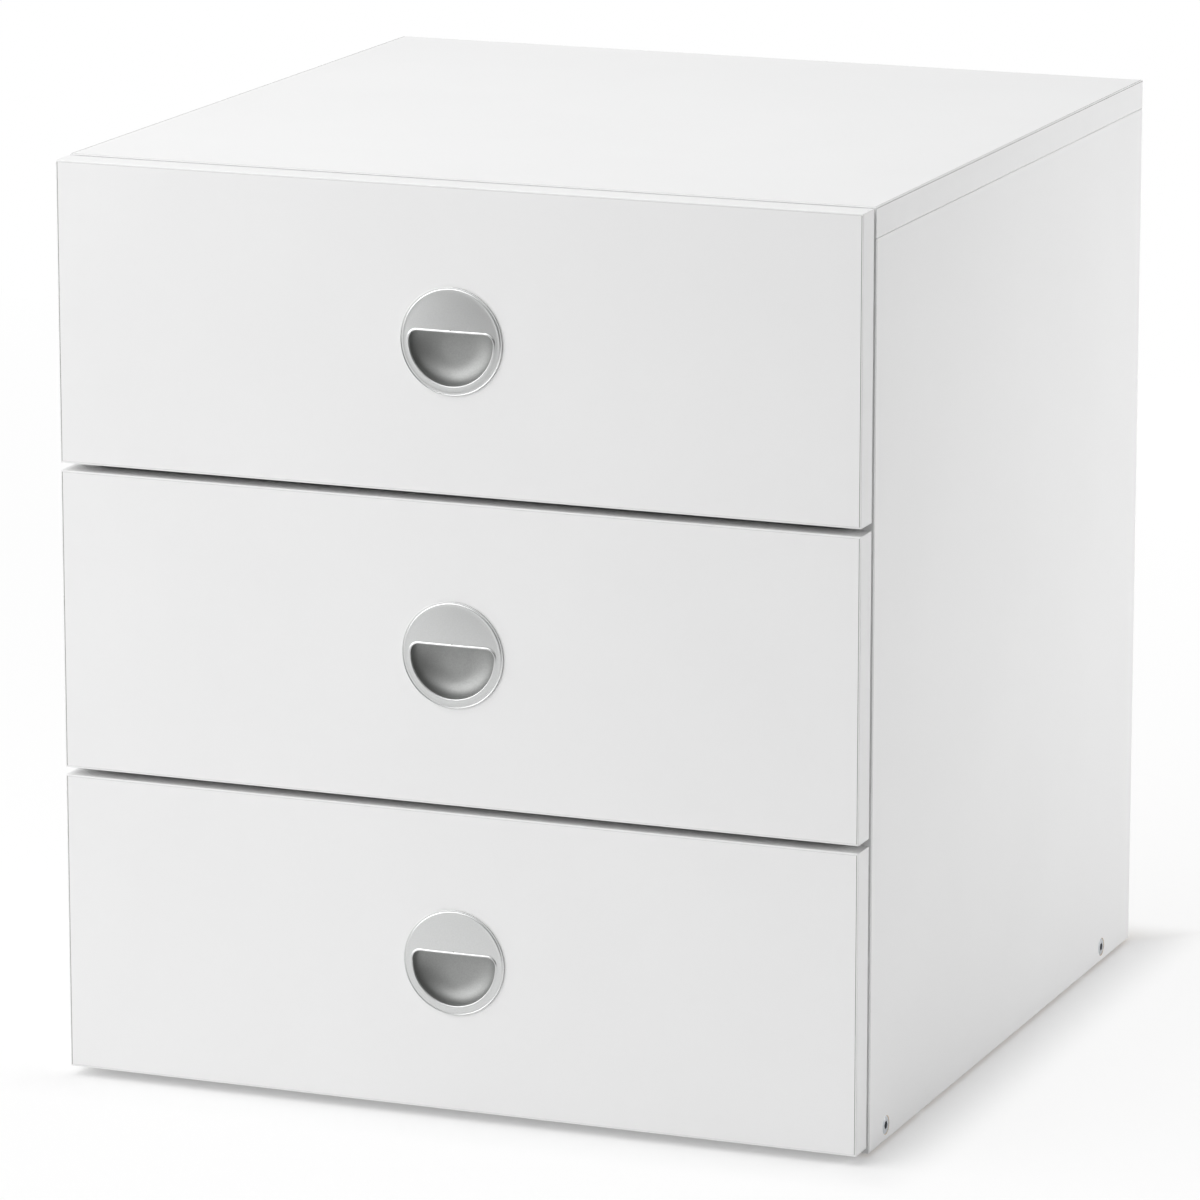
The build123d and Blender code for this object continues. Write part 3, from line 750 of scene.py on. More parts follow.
@dataclass
class BandedBoard:
    """Faced board with bands on some edges and a glue line beside each band."""

    node: str
    thin: int                                   # axis of its thickness
    bands: dict[Edge, float]                    # banded edges, with the width of the glue line in mm
    seams: dict[Edge, float] = field(default_factory=dict)  # glue lines along the edge faces instead
    plain: tuple[Edge, ...] = ()                # banded edges that show no such line
    band_mm: float = 1.0
    arris_mm: float = 0.6                       # broad face to a glue line on an edge face
    touch_mm: float = 0.05

    def lines(self, low: Vector, high: Vector) -> dict[Edge, float]:
        """Give where the middle of each glue line lies on its edge's axis.

        Args:
            low: Lowest corner of the board.
            high: Highest corner of the board.

        Returns:
            Places of the glue lines.
        """
        places = {}
        for edge in (*self.bands, *self.seams):
            inset = (self.band_mm if edge in self.bands else self.arris_mm) * MM
            places[edge] = low[edge.axis] + inset if edge.side < 0 else high[edge.axis] - inset
        return places

    def skin_of(self, lines: dict[Edge, float], middle: Vector, normal: Vector,
                broad: bool) -> tuple[Skin, Edge | None]:
        """Tell what covers a face.

        Args:
            lines: Places of the glue lines.
            middle: Middle of the face.
            normal: Direction of the face.
            broad: Whether it lies in one of the two broad faces.

        Returns:
            The cover of the face, and its edge if that is a glue line.
        """
        beyond = {edge: (middle[edge.axis] - lines[edge]) * edge.side / MM for edge in self.bands}
        if broad:
            if any(beyond[edge] > width / 2 for edge, width in self.bands.items()):
                return Skin.BAND, None
            near = [edge for edge, width in self.bands.items() if beyond[edge] > -width / 2]
            return (Skin.GLUE, near[0]) if near else (Skin.FACING, None)
        if any(gap > 0 for gap in beyond.values()):
            clean = any(normal[edge.axis] * edge.side > 0.5 for edge in self.plain)
            lined = lies_square(normal) and not clean
            for edge, width in self.seams.items():
                if lined and abs(middle[self.thin] - lines[edge]) < width / 2 * MM:
                    return Skin.GLUE, edge
            return Skin.BAND, None
        return Skin.RAW, None

    def cut_lines(self, shape: BMesh, lines: dict[Edge, float]) -> None:
        """Cut the middle and both sides of each glue line into the mesh.

        Args:
            shape: Mesh of the board.
            lines: Places of the glue lines.
        """
        for edge, width in {**self.bands, **self.seams}.items():
            normal = Vector((0, 0, 0))
            normal[edge.axis] = 1.0
            for shift in (-width / 2, 0.0, width / 2):
                parts = shape.verts[:] + shape.edges[:] + shape.faces[:]
                bmesh.ops.bisect_plane(shape, geom=parts, dist=WELD / 10, plane_no=normal,
                                       plane_co=normal * (lines[edge] + shift * MM))
        shape.normal_update()

    def cover(self, shape: BMesh, lines: dict[Edge, float], low: Vector, high: Vector) -> None:
        """Give each face its skin, and press the middle of each glue line in.

        Args:
            shape: Mesh of the board, with its lines cut.
            lines: Places of the glue lines.
            low: Lowest corner of the board.
            high: Highest corner of the board.
        """
        widths = {**self.bands, **self.seams}
        rest = [axis for axis in range(3) if axis != self.thin]
        dips: dict[BMVert, Vector] = {}
        for face in shape.faces:
            middle = face.calc_center_median()
            depth = min(middle[self.thin] - low[self.thin], high[self.thin] - middle[self.thin]) / MM
            broad = abs(face.normal[self.thin]) > 0.99 and depth < self.touch_mm
            skin, edge = self.skin_of(lines, middle, face.normal, broad)
            rim = min(min(middle[i] - low[i], high[i] - middle[i]) for i in rest) / MM
            if skin is Skin.RAW and max(rim, depth) < self.arris_mm and not lies_square(face.normal):
                skin = Skin.FACING
            face.material_index = skin
            if edge:
                for vert in face.verts:
                    if abs(vert.co[edge.axis] - lines[edge]) < WELD:
                        dips[vert] = face.normal * (-widths[edge] / 2 * MM)
        for vert, dip in dips.items():
            vert.co += dip

    def build(self, palette: Palette) -> Object:
        """Copy the board, cut its glue lines and cover its faces.

        Args:
            palette: Materials.

        Returns:
            The board.
        """
        shape = merged_copy(self.node)
        low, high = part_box(self.node)
        lines = self.lines(low, high)
        self.cut_lines(shape, lines)
        self.cover(shape, lines, low, high)
        skins = (palette.facing, palette.band, palette.glue, palette.raw)
        piece = new_object(f"{self.node}_faced", shape, skins)
        true_flats(piece)
        return piece


class Coat(int, Enum):
    """Numbers of a pull's materials."""

    FACE = 0
    # dark dot of painted shade where the mould leaves a small pit
    MARK = 1
    # faces in the cup, whose lacquer is darkened as painted shade
    SHADED_CUP = 2


@dataclass
class FlushPull:
    """Round flush pull: thin-rimmed, slightly domed disc with a half-moon cup to hook the fingers in.

    Sizes are in mm, from the middle of its seat on the drawer front. A profile's points are a radius or an
    offset from the half-moon, and a height in front of the drawer or of the face.
    """

    node: str
    rays: int = 256
    cup_radius: float = 24.75
    cup_depth: float = 11.0
    cup_round: float = 0.8
    rim: tuple[Spot, ...] = (
        (28.3, 0.0), (28.5, 0.1), (28.5, 0.7), (28.45, 0.8), (28.3, 0.86), (28.1, 0.84), (27.9, 0.7),
        (27.75, 0.66), (27.6, 0.7), (27.5, 0.84), (27.3, 0.95), (27.0, 0.97), (26.6, 0.95), (26.1, 0.92))
    crown: float = 1.58             # middle of the face above the drawer front
    moon_radius: float = 23.4
    moon_top: float = 4.7
    moon_corner: float = 4.5
    heart: float = -6.0             # height of the point that the rays start from
    face_steps: int = 10
    bead: tuple[Spot, ...] = (
        (1.35, 0.0), (1.15, 0.05), (1.0, 0.18), (0.85, 0.33), (0.65, 0.42), (0.42, 0.4), (0.2, 0.28),
        (0.04, 0.05))
    lip: tuple[Place, ...] = (                  # offset, share of the way to the room behind, height
        (0.0, 0.0, 0.6), (-0.04, 0.0, -0.3), (0.0, 0.0, -0.65), (0.0, 0.06, -0.82), (0.0, 0.5, -0.9),
        (0.0, 0.94, -1.0), (-0.05, 1.0, -1.3))
    hook_top: float = 13.2          # straight edge of the room behind the lip
    hook_corner: float = 6.0
    bowl_steps: int = 14
    bowl_inset: float = 0.7         # share of the way to the heart where the bowl is at its deepest
    bowl_depth: float = 9.75
    mark_radius: float = 0.45
    mark_taper: float = 0.7
    mark_height: float = 0.1
    mark_lift: float = 0.02
    # the mould mark is a flush dark dot that paints the shade of a small pit
    mark_rise: float = 1.25         # mould mark above the straight edge
    mark_sides: int = 16
    halvings: int = 36              # steps of the search for an outline
    crease_deg: float = 50.0

    def face_level(self, x: float, z: float) -> float:
        """Give the height of the domed face above the drawer front.

        Args:
            x: Place to the right of the middle.
            z: Place above the middle.

        Returns:
            The height.
        """
        radius, brow = self.rim[-1]
        share = min(1.0, math.hypot(x, z) / radius)
        return self.crown + (brow - self.crown) * share ** 2

    def core_distance(self, x: float, z: float, top: float, corner: float) -> float:
        """Measure how far a point lies outside a half-moon shrunk by its corner radius.

        Args:
            x: Place to the right of the middle.
            z: Place above the middle.
            top: Height of the half-moon's straight edge.
            corner: Corner radius.

        Returns:
            The distance, 0 inside.
        """
        disc, lid = self.moon_radius - corner, top - corner
        away = math.hypot(x, z)
        if away <= disc and z <= lid:
            return 0.0
        if away > disc and z * disc / away <= lid:
            return away - disc
        tip = math.sqrt(disc * disc - lid * lid)
        return z - lid if abs(x) <= tip else math.hypot(abs(x) - tip, z - lid)

    def ray(self, number: int) -> Spot:
        """Give the direction of a ray from the heart of the half-moon."""
        turn = 2 * math.pi * number / self.rays
        return math.sin(turn), math.cos(turn)

    def on_circle(self, radius: float) -> list[Spot]:
        """Find where the rays meet a circle around the middle.

        Args:
            radius: Radius of the circle.

        Returns:
            A point for each ray.
        """
        spots = []
        for number in range(self.rays):
            dx, dz = self.ray(number)
            along = -self.heart * dz + math.sqrt((self.heart * dz) ** 2 - self.heart ** 2 + radius ** 2)
            spots.append((dx * along, self.heart + dz * along))
        return spots

    def on_moon(self, offset: float, top: float, corner: float) -> list[Spot]:
        """Find where the rays meet a half-moon's outline, offset outwards.

        Args:
            offset: Distance outside the outline.
            top: Height of the half-moon's straight edge.
            corner: Corner radius.

        Returns:
            A point for each ray.
        """
        spots = []
        for number in range(self.rays):
            dx, dz = self.ray(number)
            near, far = 0.0, 2 * self.moon_radius
            for _ in range(self.halvings):
                middle = (near + far) / 2
                outside = self.core_distance(dx * middle, self.heart + dz * middle, top, corner)
                near, far = (near, middle) if outside > corner + offset else (middle, far)
            spots.append((dx * near, self.heart + dz * near))
        return spots

    def blend(self, first: list[Spot], second: list[Spot], share: float) -> list[Spot]:
        """Give the ring of points that lies so far between two rings."""
        return [(a[0] + (b[0] - a[0]) * share, a[1] + (b[1] - a[1]) * share) for a, b in zip(first, second)]

    def loops(self) -> list[list[Place]]:
        """Lay out the pull as rings, from its back, round the rim and over the face into the cup.

        Returns:
            Rings of points to the right, above and in front of the middle of the pull's seat.
        """
        back = -self.cup_depth
        profile = ((self.cup_radius - self.cup_round, back), (self.cup_radius, back + self.cup_round),
                   (self.cup_radius, 0.0), *self.rim)
        rings = [[(x, z, level) for x, z in self.on_circle(radius)] for radius, level in profile]
        outer = self.on_circle(self.rim[-1][0])
        inner = self.on_moon(self.bead[0][0], self.moon_top, self.moon_corner)
        for step in range(1, self.face_steps):
            spots = self.blend(outer, inner, step / self.face_steps)
            rings.append([(x, z, self.face_level(x, z)) for x, z in spots])
        for offset, rise in self.bead:
            spots = self.on_moon(offset, self.moon_top, self.moon_corner)
            rings.append([(x, z, self.face_level(x, z) + rise) for x, z in spots])
        for offset, share, level in self.lip:
            spots = self.blend(self.on_moon(offset, self.moon_top, self.moon_corner),
                               self.on_moon(offset, self.hook_top, self.hook_corner), share)
            rings.append([(x, z, level) for x, z in spots])
        start = self.lip[-1][2]
        room = [(x, z) for x, z, _ in rings[-1]]
        for step in range(1, self.bowl_steps + 1):
            turn = math.pi / 2 * step / self.bowl_steps
            scale = 1 - self.bowl_inset * (1 - math.cos(turn))
            level = start - (self.bowl_depth + start) * math.sin(turn)
            rings.append([(x * scale, self.heart + (z - self.heart) * scale, level) for x, z in room])
        return rings

    def build(self, palette: Palette) -> Object:
        """Build the pull where its CAD node lies.

        Args:
            palette: Materials.

        Returns:
            The pull.
        """
        low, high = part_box(self.node)
        seat = Vector(((low.x + high.x) / 2, high.y - self.cup_depth * MM, (low.z + high.z) / 2))
        shape = bmesh.new()
        rings = [[shape.verts.new(seat + Vector((x, -level, z)) * MM) for x, z, level in ring]
                 for ring in self.loops()]
        inside = len(rings) - len(self.lip) - self.bowl_steps
        for number, (first, second) in enumerate(zip(rings, rings[1:])):
            for i in range(self.rays):
                j = (i + 1) % self.rays
                face = shape.faces.new((first[i], first[j], second[j], second[i]))
                # faces in the cup get the lacquer that is darkened as painted shade
                face.material_index = Coat.FACE if number < inside else Coat.SHADED_CUP
        for ring, coat in ((rings[0], Coat.FACE), (rings[-1], Coat.SHADED_CUP)):
            middle = shape.verts.new(sum((vert.co for vert in ring), Vector()) / self.rays)
            for i in range(self.rays):
                face = shape.faces.new((ring[i], ring[(i + 1) % self.rays], middle))
                face.material_index = coat
        self.add_mark(shape, seat)
        bmesh.ops.recalc_face_normals(shape, faces=shape.faces)
        piece = new_object(f"{self.node}_lacquered", shape, (palette.silver, palette.glue, palette.cup))
        smooth_rounds(piece, self.crease_deg)
        return piece

    def add_mark(self, shape: BMesh, seat: Vector) -> None:
        """Add the small mould mark above the middle of the straight edge: a dark dot, painted shade of a
        small pit.

        Args:
            shape: Mesh of the pull.
            seat: Middle of the pull's seat on the drawer front.
        """
        height = self.moon_top + self.mark_rise
        level = self.face_level(0.0, height) + self.mark_lift
        turn = Matrix.Rotation(math.pi / 2, 4, "X")
        place = Matrix.Translation(seat + Vector((0.0, -level, height)) * MM) @ turn
        radius = self.mark_radius * MM
        made = bmesh.ops.create_cone(
            shape, cap_ends=True, segments=self.mark_sides, radius1=radius, radius2=radius * self.mark_taper,
            depth=self.mark_height * MM, matrix=place)
        # glue grey here is painted shade of the pit
        for face in {face for vert in made["verts"] for face in vert.link_faces}:
            face.material_index = Coat.MARK


@dataclass(frozen=True)
class Ring:
    """Ring of a turned piece, by its radius and its distance below the outermost point, in mm."""

    name: str
    radius: float
    depth: float


class Drive(Enum):
    """Recess that a tool turns a fastener by."""

    NONE = "none"
    HEXAGON = "hexagon"
    CROSS = "cross"


class Facing(Enum):
    """Which way the heads of a group of fasteners look."""

    OUTWARDS = "away from the middle"
    INWARDS = "towards the middle"
    REAR = "to the back"
    DOWN = "to the floor"

    def vector(self, place: Vector) -> Vector:
        """Give the direction at a place.

        Args:
            place: Where the fastener sits.

        Returns:
            The direction, of length 1.
        """
        side = math.copysign(1.0, place.x)
        return {Facing.OUTWARDS: Vector((side, 0, 0)), Facing.INWARDS: Vector((-side, 0, 0)),
                Facing.REAR: Vector((0, 1, 0)), Facing.DOWN: Vector((0, 0, -1))}[self]


@dataclass(frozen=True)
class TurnedFastener:
    """Turned screw, nail or glide, made once by Geometry Nodes and set on every seat of a CAD node.

    Sizes are in mm.
    """

    label: str
    rings: tuple[Ring, ...]
    facing: Facing
    drive: Drive = Drive.NONE
    drive_width: float = 1.0
    drive_length: float = 4.0
    drive_depth: float = 1.0
    sides: int = 40
    seed: int = 3
    crease_deg: float = 40.0

    def sizes(self) -> dict[str, float]:
        """List the named sizes of the tree.

        Returns:
            Sizes in metres, by the name of their input.
        """
        sizes = {}
        if self.drive is not Drive.NONE:
            sizes = {"Drive width": self.drive_width * MM, "Drive depth": self.drive_depth * MM}
        if self.drive is Drive.CROSS:
            sizes["Drive length"] = self.drive_length * MM
        for ring in self.rings:
            sizes[f"{ring.name} radius"] = ring.radius * MM
            sizes[f"{ring.name} depth"] = ring.depth * MM
        return sizes

    def tree(self) -> NodeTree:
        """Build the tree: a turned blank, the drive cut out, one piece on each seat.

        Returns:
            The tree.
        """
        tree = bpy.data.node_groups.new(self.label, "GeometryNodeTree")
        for name, kind in (("Seats", "Geometry"), ("Finish", "Material"), ("Sides", "Int"), ("Seed", "Int")):
            tree.interface.new_socket(name, in_out="INPUT", socket_type=f"NodeSocket{kind}")
        for name in self.sizes():
            tree.interface.new_socket(name, in_out="INPUT", socket_type="NodeSocketFloat")
        tree.interface.new_socket("Pieces", in_out="OUTPUT", socket_type="NodeSocketGeometry")
        given = add_node(tree, "NodeGroupInput").outputs
        element = self.cut_drive(tree, given, self.turn_blank(tree, given))
        look = add_node(tree, "GeometryNodeInputNamedAttribute", {"Name": "facing"}, data_type="FLOAT_VECTOR")
        aligned = add_node(tree, "FunctionNodeAlignRotationToVector", {
            "Vector": look.outputs["Attribute"]}, axis="Z")
        chance = add_node(tree, "FunctionNodeRandomValue", {"Seed": given["Seed"]}, data_type="FLOAT")
        angle = reckon(tree, "MULTIPLY", chance.outputs[1], math.pi)
        spin = add_node(tree, "FunctionNodeAxisAngleToRotation", {"Axis": (0.0, 0.0, 1.0), "Angle": angle})
        turned = add_node(tree, "FunctionNodeRotateRotation", {
            "Rotation": aligned.outputs["Rotation"],
            "Rotate By": spin.outputs["Rotation"]}, rotation_space="LOCAL")
        placed = add_node(tree, "GeometryNodeInstanceOnPoints", {
            "Points": given["Seats"], "Instance": element, "Rotation": turned.outputs["Rotation"]})
        real = add_node(tree, "GeometryNodeRealizeInstances", {"Geometry": placed.outputs["Instances"]})
        covered = add_node(tree, "GeometryNodeSetMaterial", {
            "Geometry": real.outputs["Geometry"], "Material": given["Finish"]})
        add_node(tree, "NodeGroupOutput", {"Pieces": covered.outputs["Geometry"]})
        return tree

    def turn_blank(self, tree: NodeTree, given: bpy.types.bpy_prop_collection) -> NodeSocket:
        """Turn the piece without its drive, as frusta between the rings.

        Args:
            tree: Tree that gets the nodes.
            given: Sockets of the tree's inputs.

        Returns:
            Socket of the welded piece.
        """
        body = add_node(tree, "GeometryNodeJoinGeometry")
        for upper, lower in zip(self.rings, self.rings[1:]):
            foot = given[f"{lower.name} depth"]
            frustum = add_node(tree, "GeometryNodeMeshCone", {
                "Vertices": given["Sides"], "Radius Top": given[f"{upper.name} radius"],
                "Radius Bottom": given[f"{lower.name} radius"],
                "Depth": reckon(tree, "SUBTRACT", foot, given[f"{upper.name} depth"])}, fill_type="NONE")
            drop = add_node(tree, "ShaderNodeCombineXYZ", {"Z": reckon(tree, "MULTIPLY", foot, -1.0)})
            moved = add_node(tree, "GeometryNodeTransform", {
                "Geometry": frustum.outputs["Mesh"], "Translation": drop.outputs["Vector"]})
            feed(body, {"Geometry": moved.outputs["Geometry"]})
        welded = add_node(tree, "GeometryNodeMergeByDistance", {
            "Geometry": body.outputs["Geometry"], "Distance": WELD})
        return welded.outputs["Geometry"]

    def cut_drive(self, tree: NodeTree, given: bpy.types.bpy_prop_collection,
                  blank: NodeSocket) -> NodeSocket:
        """Cut the tool's recess into the head.

        Args:
            tree: Tree that gets the nodes.
            given: Sockets of the tree's inputs.
            blank: Socket of the uncut piece.

        Returns:
            Socket of the cut piece.
        """
        if self.drive is Drive.NONE:
            return blank
        tall = reckon(tree, "MULTIPLY", given["Drive depth"], 2.0)
        cut = add_node(tree, "GeometryNodeMeshBoolean", {"Mesh 1": blank}, operation="DIFFERENCE")
        if self.drive is Drive.HEXAGON:
            corner = reckon(tree, "DIVIDE", given["Drive width"], math.sqrt(3))
            prism = add_node(tree, "GeometryNodeMeshCylinder", {
                "Vertices": 6, "Radius": corner, "Depth": tall})
            feed(cut, {"Mesh 2": prism.outputs["Mesh"]})
        else:
            for x, y in (("Drive length", "Drive width"), ("Drive width", "Drive length")):
                size = add_node(tree, "ShaderNodeCombineXYZ", {"X": given[x], "Y": given[y], "Z": tall})
                arm = add_node(tree, "GeometryNodeMeshCube", {"Size": size.outputs["Vector"]})
                feed(cut, {"Mesh 2": arm.outputs["Mesh"]})
        return cut.outputs["Mesh"]

    def seats(self, node: str) -> tuple[list[Vector], list[Vector]]:
        """Find the outermost point and the direction of each fastener in a CAD node.

        Args:
            node: CAD node that holds the group.

        Returns:
            Points and directions.
        """
        shape = merged_copy(node)
        spots, looks = [], []
        for solid in islands(shape):
            low, high = corners(solid)
            middle = (low + high) / 2
            look = self.facing.vector(middle)
            reach = sum(abs(look[i]) * (high[i] - low[i]) / 2 for i in range(3))
            spots.append(middle + look * reach)
            looks.append(look)
        shape.free()
        return spots, looks

    def set_on(self, node: str, finish: Material) -> Object:
        """Set the fastener on every seat of a CAD node, as one plain mesh.

        Args:
            node: CAD node that holds the group.
            finish: Material.

        Returns:
            The group of fasteners.
        """
        spots, looks = self.seats(node)
        piece = new_object(f"{node}_turned", bmesh.new(), ())
        piece.data.from_pydata(spots, [], [])
        facing = piece.data.attributes.new("facing", "FLOAT_VECTOR", "POINT")
        facing.data.foreach_set("vector", [part for look in looks for part in look])
        modifier = piece.modifiers.new(self.label, "NODES")
        modifier.node_group = self.tree()
        values = {**self.sizes(), "Finish": finish, "Sides": self.sides, "Seed": self.seed}
        for socket in modifier.node_group.interface.items_tree:
            if socket.name in values:
                modifier[socket.identifier] = values[socket.name]
        make_plain(piece)
        shape = bmesh.new()
        shape.from_mesh(piece.data)
        bmesh.ops.remove_doubles(shape, verts=shape.verts, dist=WELD)
        bmesh.ops.recalc_face_normals(shape, faces=shape.faces)
        shape.to_mesh(piece.data)
        shape.free()
        smooth_rounds(piece, self.crease_deg)
        return piece


CONNECTOR_SCREW = TurnedFastener(
    "hexagon socket connector screw",
    (Ring("Crown", 0.0, 0.0), Ring("Face", 4.55, 0.03), Ring("Head", 5.0, 0.35), Ring("Neck", 3.2, 2.15),
     Ring("Shank", 3.2, 48.0), Ring("Point", 0.0, 50.0)),
    Facing.OUTWARDS, Drive.HEXAGON, drive_width=4.0, drive_depth=3.0)
RUNNER_SCREW = TurnedFastener(
    "pan head runner screw",
    (Ring("Crown", 0.0, 0.0), Ring("Dome", 1.7, 0.1), Ring("Brow", 2.7, 0.4), Ring("Cheek", 3.3, 0.85),
     Ring("Rim", 3.5, 1.3), Ring("Seat", 3.45, 1.48), Ring("Neck", 1.75, 1.5), Ring("Shank", 1.75, 12.5),
     Ring("Point", 0.0, 14.5)),
    Facing.INWARDS, Drive.CROSS)
RAIL_SCREW = TurnedFastener("pan head rail screw", RUNNER_SCREW.rings, Facing.DOWN, Drive.CROSS)
BOX_SCREW = TurnedFastener(
    "countersunk box screw",
    (Ring("Crown", 0.0, 0.0), Ring("Face", 3.8, 0.02), Ring("Head", 4.0, 0.15), Ring("Neck", 2.0, 2.1),
     Ring("Shank", 2.0, 35.5), Ring("Point", 0.0, 38.0)),
    Facing.OUTWARDS, Drive.CROSS)
PANEL_NAIL = TurnedFastener(
    "flat head panel nail",
    (Ring("Crown", 0.0, 0.0), Ring("Face", 1.75, 0.06), Ring("Head", 2.0, 0.35), Ring("Seat", 1.95, 0.78),
     Ring("Neck", 0.8, 0.8), Ring("Shank", 0.8, 21.0), Ring("Point", 0.0, 22.8)),
    Facing.REAR)
FLOOR_GLIDE = TurnedFastener(
    "nailed floor glide",
    (Ring("Crown", 0.0, 0.0), Ring("Sole", 4.8, 0.02), Ring("Round", 6.1, 0.35), Ring("Edge", 6.8, 1.0),
     Ring("Rim", 7.0, 1.7), Ring("Seat", 6.95, 1.98), Ring("Neck", 1.0, 2.0), Ring("Nail", 1.0, 13.0),
     Ring("Point", 0.0, 14.0)),
    Facing.DOWN)


class Metal(int, Enum):
    """Numbers of a runner's materials."""

    COATED = 0
    BARE = 1


@dataclass
class Runner:
    """Coated channel or rail with its riveted axle."""

    node: str
    body: str
    rollers: str                    # CAD node of the rollers on its axle
    axle_mm: float = 4.6            # radius around the axle that belongs to it

    def build(self, palette: Palette) -> None:
        """Copy the runner and give its axle bare zinc.

        Args:
            palette: Materials.
        """
        shape = merged_copy(self.node)
        low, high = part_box(self.rollers)
        axis = (low + high) / 2
        for face in shape.faces:
            away = max(math.hypot(vert.co.y - axis.y, vert.co.z - axis.z) for vert in face.verts)
            face.material_index = Metal.BARE if away < self.axle_mm * MM else Metal.COATED
        piece = new_object(f"{self.node}_coated", shape, (palette.coat, palette.zinc))
        smooth_rounds(piece)
        settle(piece, self.body, self.node)


@dataclass
class Carcass:
    """Carcass boards with their fittings and the runner channels."""

    palette: Palette
    line_mm: float = 0.3

    def boards(self) -> None:
        """Build the faced boards."""
        line = self.line_mm
        front = {Edge.FRONT: line}
        for board in (
                BandedBoard("top_panel", 2, {Edge.LEFT: line, Edge.RIGHT: line, **front}, {Edge.UPPER: line},
                            (Edge.FRONT,)),
                BandedBoard("bottom_panel", 2, front),
                *(BandedBoard(f"{side}_side_panel", 0, front) for side in SIDES)):
            settle(board.build(self.palette), "carcass", board.node)

    def fittings(self) -> None:
        """Set the screws, nails and glides, and dress the fittings that stay as they are."""
        zinc = self.palette.zinc
        for fastener, node, slot, finish in (
                (CONNECTOR_SCREW, "bottom_panel_screws", "zinc_plated_steel", zinc),
                (RUNNER_SCREW, "channel_screws", "zinc_plated_steel", zinc),
                (PANEL_NAIL, "back_panel_nails", "zinc_plated_steel", zinc),
                (FLOOR_GLIDE, "floor_glides", "glide_plastic", self.palette.glide)):
            settle(fastener.set_on(node, finish), "carcass", node)
        dress("back_panel", self.palette.back)
        dress("top_panel_dowels", self.palette.beech)
        for fitting in ("cam_locks", "cam_bolts"):
            dress(f"top_panel_{fitting}", zinc)

    def build(self) -> None:
        """Build the carcass and its runner channels."""
        self.boards()
        self.fittings()
        for drawer in DRAWERS:
            for side in SIDES:
                rollers = f"{drawer}_drawer_front_rollers"
                Runner(f"{drawer}_drawer_{side}_channel", "carcass", rollers).build(self.palette)


@dataclass
class Drawer:
    """Drawer with its front, pull, box and rails."""

    name: str
    palette: Palette
    upright_line_mm: float = 0.3
    level_line_mm: float = 0.06

    @property
    def body(self) -> str:
        """Name of the body that the drawer's pieces ride on."""
        return f"{self.name}_drawer"

    def node(self, piece: str) -> str:
        """Give the CAD node of a piece of this drawer."""
        return f"{self.body}_{piece}"

    def front(self) -> None:
        """Build the front and its pull."""
        bands = {Edge.LEFT: self.upright_line_mm, Edge.RIGHT: self.upright_line_mm,
                 Edge.LOWER: self.level_line_mm, Edge.UPPER: self.level_line_mm}
        for piece, slot in ((BandedBoard(self.node("front"), 1, bands), "melamine_board"),
                            (FlushPull(self.node("pull")), "silver_lacquer")):
            settle(piece.build(self.palette), self.body, piece.node)

    def box(self) -> None:
        """Dress the box and set its screws and rails."""
        palette = self.palette
        for piece, finish in (("left_side", palette.facing), ("right_side", palette.facing),
                              ("back", palette.facing), ("bottom", palette.box_floor),
                              ("cam_locks", palette.zinc), ("cam_bolts", palette.zinc),
                              ("front_rollers", palette.nylon), ("rear_rollers", palette.nylon)):
            dress(self.node(piece), finish)
        for fastener, piece in ((BOX_SCREW, "box_screws"), (RAIL_SCREW, "rail_screws")):
            group = fastener.set_on(self.node(piece), palette.zinc)
            settle(group, self.body, self.node(piece))
        for side in SIDES:
            Runner(self.node(f"{side}_rail"), self.body, self.node("rear_rollers")).build(palette)

    def build(self) -> None:
        """Build the whole drawer."""
        self.front()
        self.box()


@dataclass(frozen=True)
class Lamp:
    """Soft studio lamp: a square area light aimed at a point."""

    name: str
    place: Place
    target: Place
    size: float
    power: float

    def hang(self) -> None:
        """Hang the lamp and aim it."""
        light = bpy.data.lights.new(self.name, "AREA")
        light.shape = "SQUARE"
        light.size = self.size
        light.energy = self.power
        lamp = bpy.data.objects.new(self.name, light)
        lamp.location = self.place
        lamp.visible_camera = False
        aim = Vector(self.target) - Vector(self.place)
        lamp.rotation_euler = aim.to_track_quat("-Z", "Y").to_euler()
        bpy.context.scene.collection.objects.link(lamp)


@dataclass(frozen=True)
class Flag:
    """Dark studio card: shows as a dark patch in the metal, and may keep stray light off one side."""

    name: str
    place: Place
    target: Place
    width: float
    height: float
    shades: bool = True             # False where it only shows in reflections

    def stand(self, cloth: Material) -> None:
        """Stand the card beside the camera's view.

        Args:
            cloth: Material of the card.
        """
        aim = (Vector(self.target) - Vector(self.place)).to_track_quat("Z", "Y").to_matrix()
        shape = bmesh.new()
        shape.faces.new([
            shape.verts.new(Vector(self.place) + aim @ Vector((x * self.width / 2, y * self.height / 2, 0)))
            for x, y in ((-1, -1), (1, -1), (1, 1), (-1, 1))])
        card = new_object(self.name, shape, (cloth,))
        card.visible_camera = False
        card.visible_diffuse = self.shades
        card.visible_shadow = self.shades


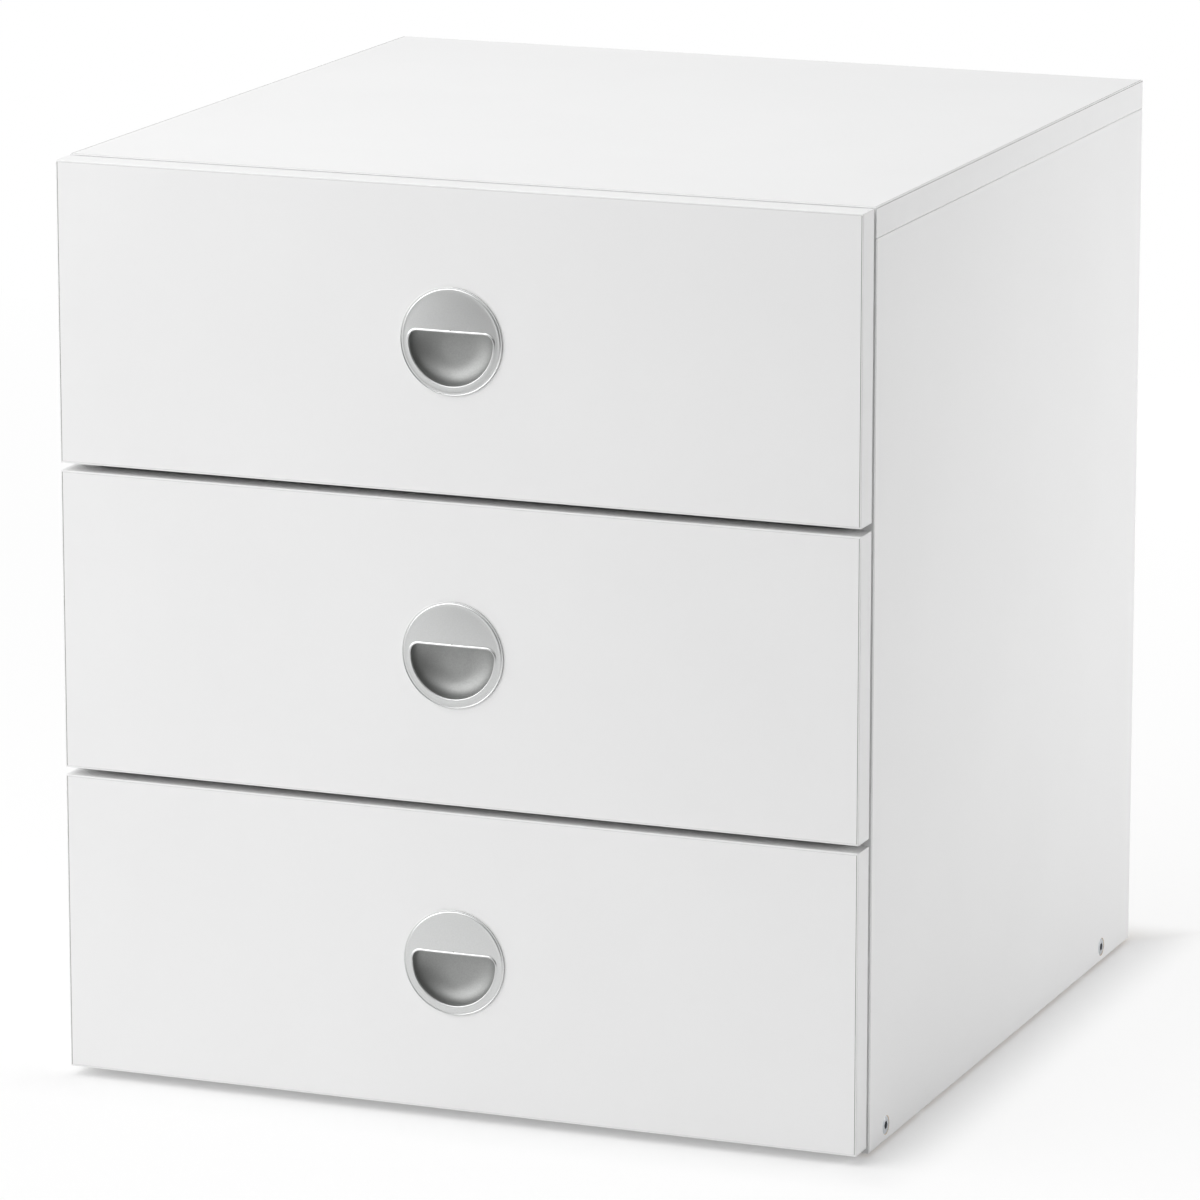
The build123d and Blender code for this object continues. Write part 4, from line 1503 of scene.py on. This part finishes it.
@dataclass
class Studio:
    """Plain white studio: paper floor, even world, soft lamps and the photograph's camera, in metres."""

    lamps: tuple[Lamp, ...] = (
        Lamp("key softbox", (-1.9, -1.9, 2.1), (0.0, -0.1, 0.25), 4.0, 105.0),
        Lamp("overhead softbox", (-0.3, 0.1, 2.6), (0.0, 0.0, 0.25), 1.8, 18.0),
        Lamp("right softbox", (1.25, 0.45, 0.28), (0.225, 0.1, 0.28), 0.6, 5.1),
        Lamp("right rear softbox", (1.7, 2.3, 0.6), (0.2, 0.1, 0.3), 1.2, 3.2),
        Lamp("low rear softbox", (0.0, 2.2, 0.25), (0.0, 0.2, 0.25), 0.5, 14.0),
    )
    flags: tuple[Flag, ...] = (
        Flag("dark_flag", (1.3, -1.1, 0.6), (0.0, -0.2, 0.3), 2.2, 1.2),
        Flag("dark_canopy", (0.27, -1.7, 0.6), (0.0, -0.234, 0.25), 2.5, 1.2, shades=False),
    )
    ambient: float = 0.26
    floor_radius: float = 14.0
    floor_sides: int = 96
    lens_mm: float = 216.38
    sensor_mm: float = 36.0
    place: Place = (1.4127, -3.5982, 1.1224)
    yaw_deg: float = 21.566
    pitch_deg: float = 12.968

    def floor(self) -> None:
        """Lay the paper floor."""
        shape = bmesh.new()
        bmesh.ops.create_circle(shape, cap_ends=True, segments=self.floor_sides, radius=self.floor_radius)
        new_object("studio_floor", shape, (SeamlessPaper().make(),))

    def world(self) -> None:
        """Light the scene evenly, with white to the camera and in reflections."""
        world = bpy.data.worlds.new("studio")
        world.use_nodes = True
        tree = world.node_tree
        tree.nodes.clear()
        strength = add_node(tree, "ShaderNodeMapRange", {
            "Value": seen_rays(tree), "To Min": self.ambient, "To Max": 1.0})
        room = add_node(tree, "ShaderNodeBackground", {
            "Color": linear(WHITE), "Strength": strength.outputs["Result"]})
        add_node(tree, "ShaderNodeOutputWorld", {"Surface": room.outputs["Background"]})
        bpy.context.scene.world = world

    def camera(self) -> None:
        """Set the camera where the photograph was taken from."""
        lens = bpy.data.cameras.new("photograph")
        lens.lens = self.lens_mm
        lens.sensor_width = self.sensor_mm
        lens.sensor_fit = "HORIZONTAL"
        camera = bpy.data.objects.new("photograph", lens)
        camera.location = self.place
        camera.rotation_euler = (math.radians(90.0 - self.pitch_deg), 0.0, math.radians(self.yaw_deg))
        bpy.context.scene.collection.objects.link(camera)
        bpy.context.scene.camera = camera

    def build(self) -> None:
        """Set up the studio."""
        self.floor()
        self.world()
        for lamp in self.lamps:
            lamp.hang()
        cloth = FlagCloth().make()
        for flag in self.flags:
            flag.stand(cloth)
        self.camera()
        bpy.context.scene.view_settings.view_transform = "Standard"


def main() -> None:
    """Build the studio and the unit, piece by piece."""
    logging.basicConfig(level=logging.INFO, format="%(name)s: %(message)s")
    Studio().build()
    palette = Palette.mixed()
    Carcass(palette).build()
    for name in DRAWERS:
        Drawer(name, palette).build()


if __name__ == "__main__":
    main()
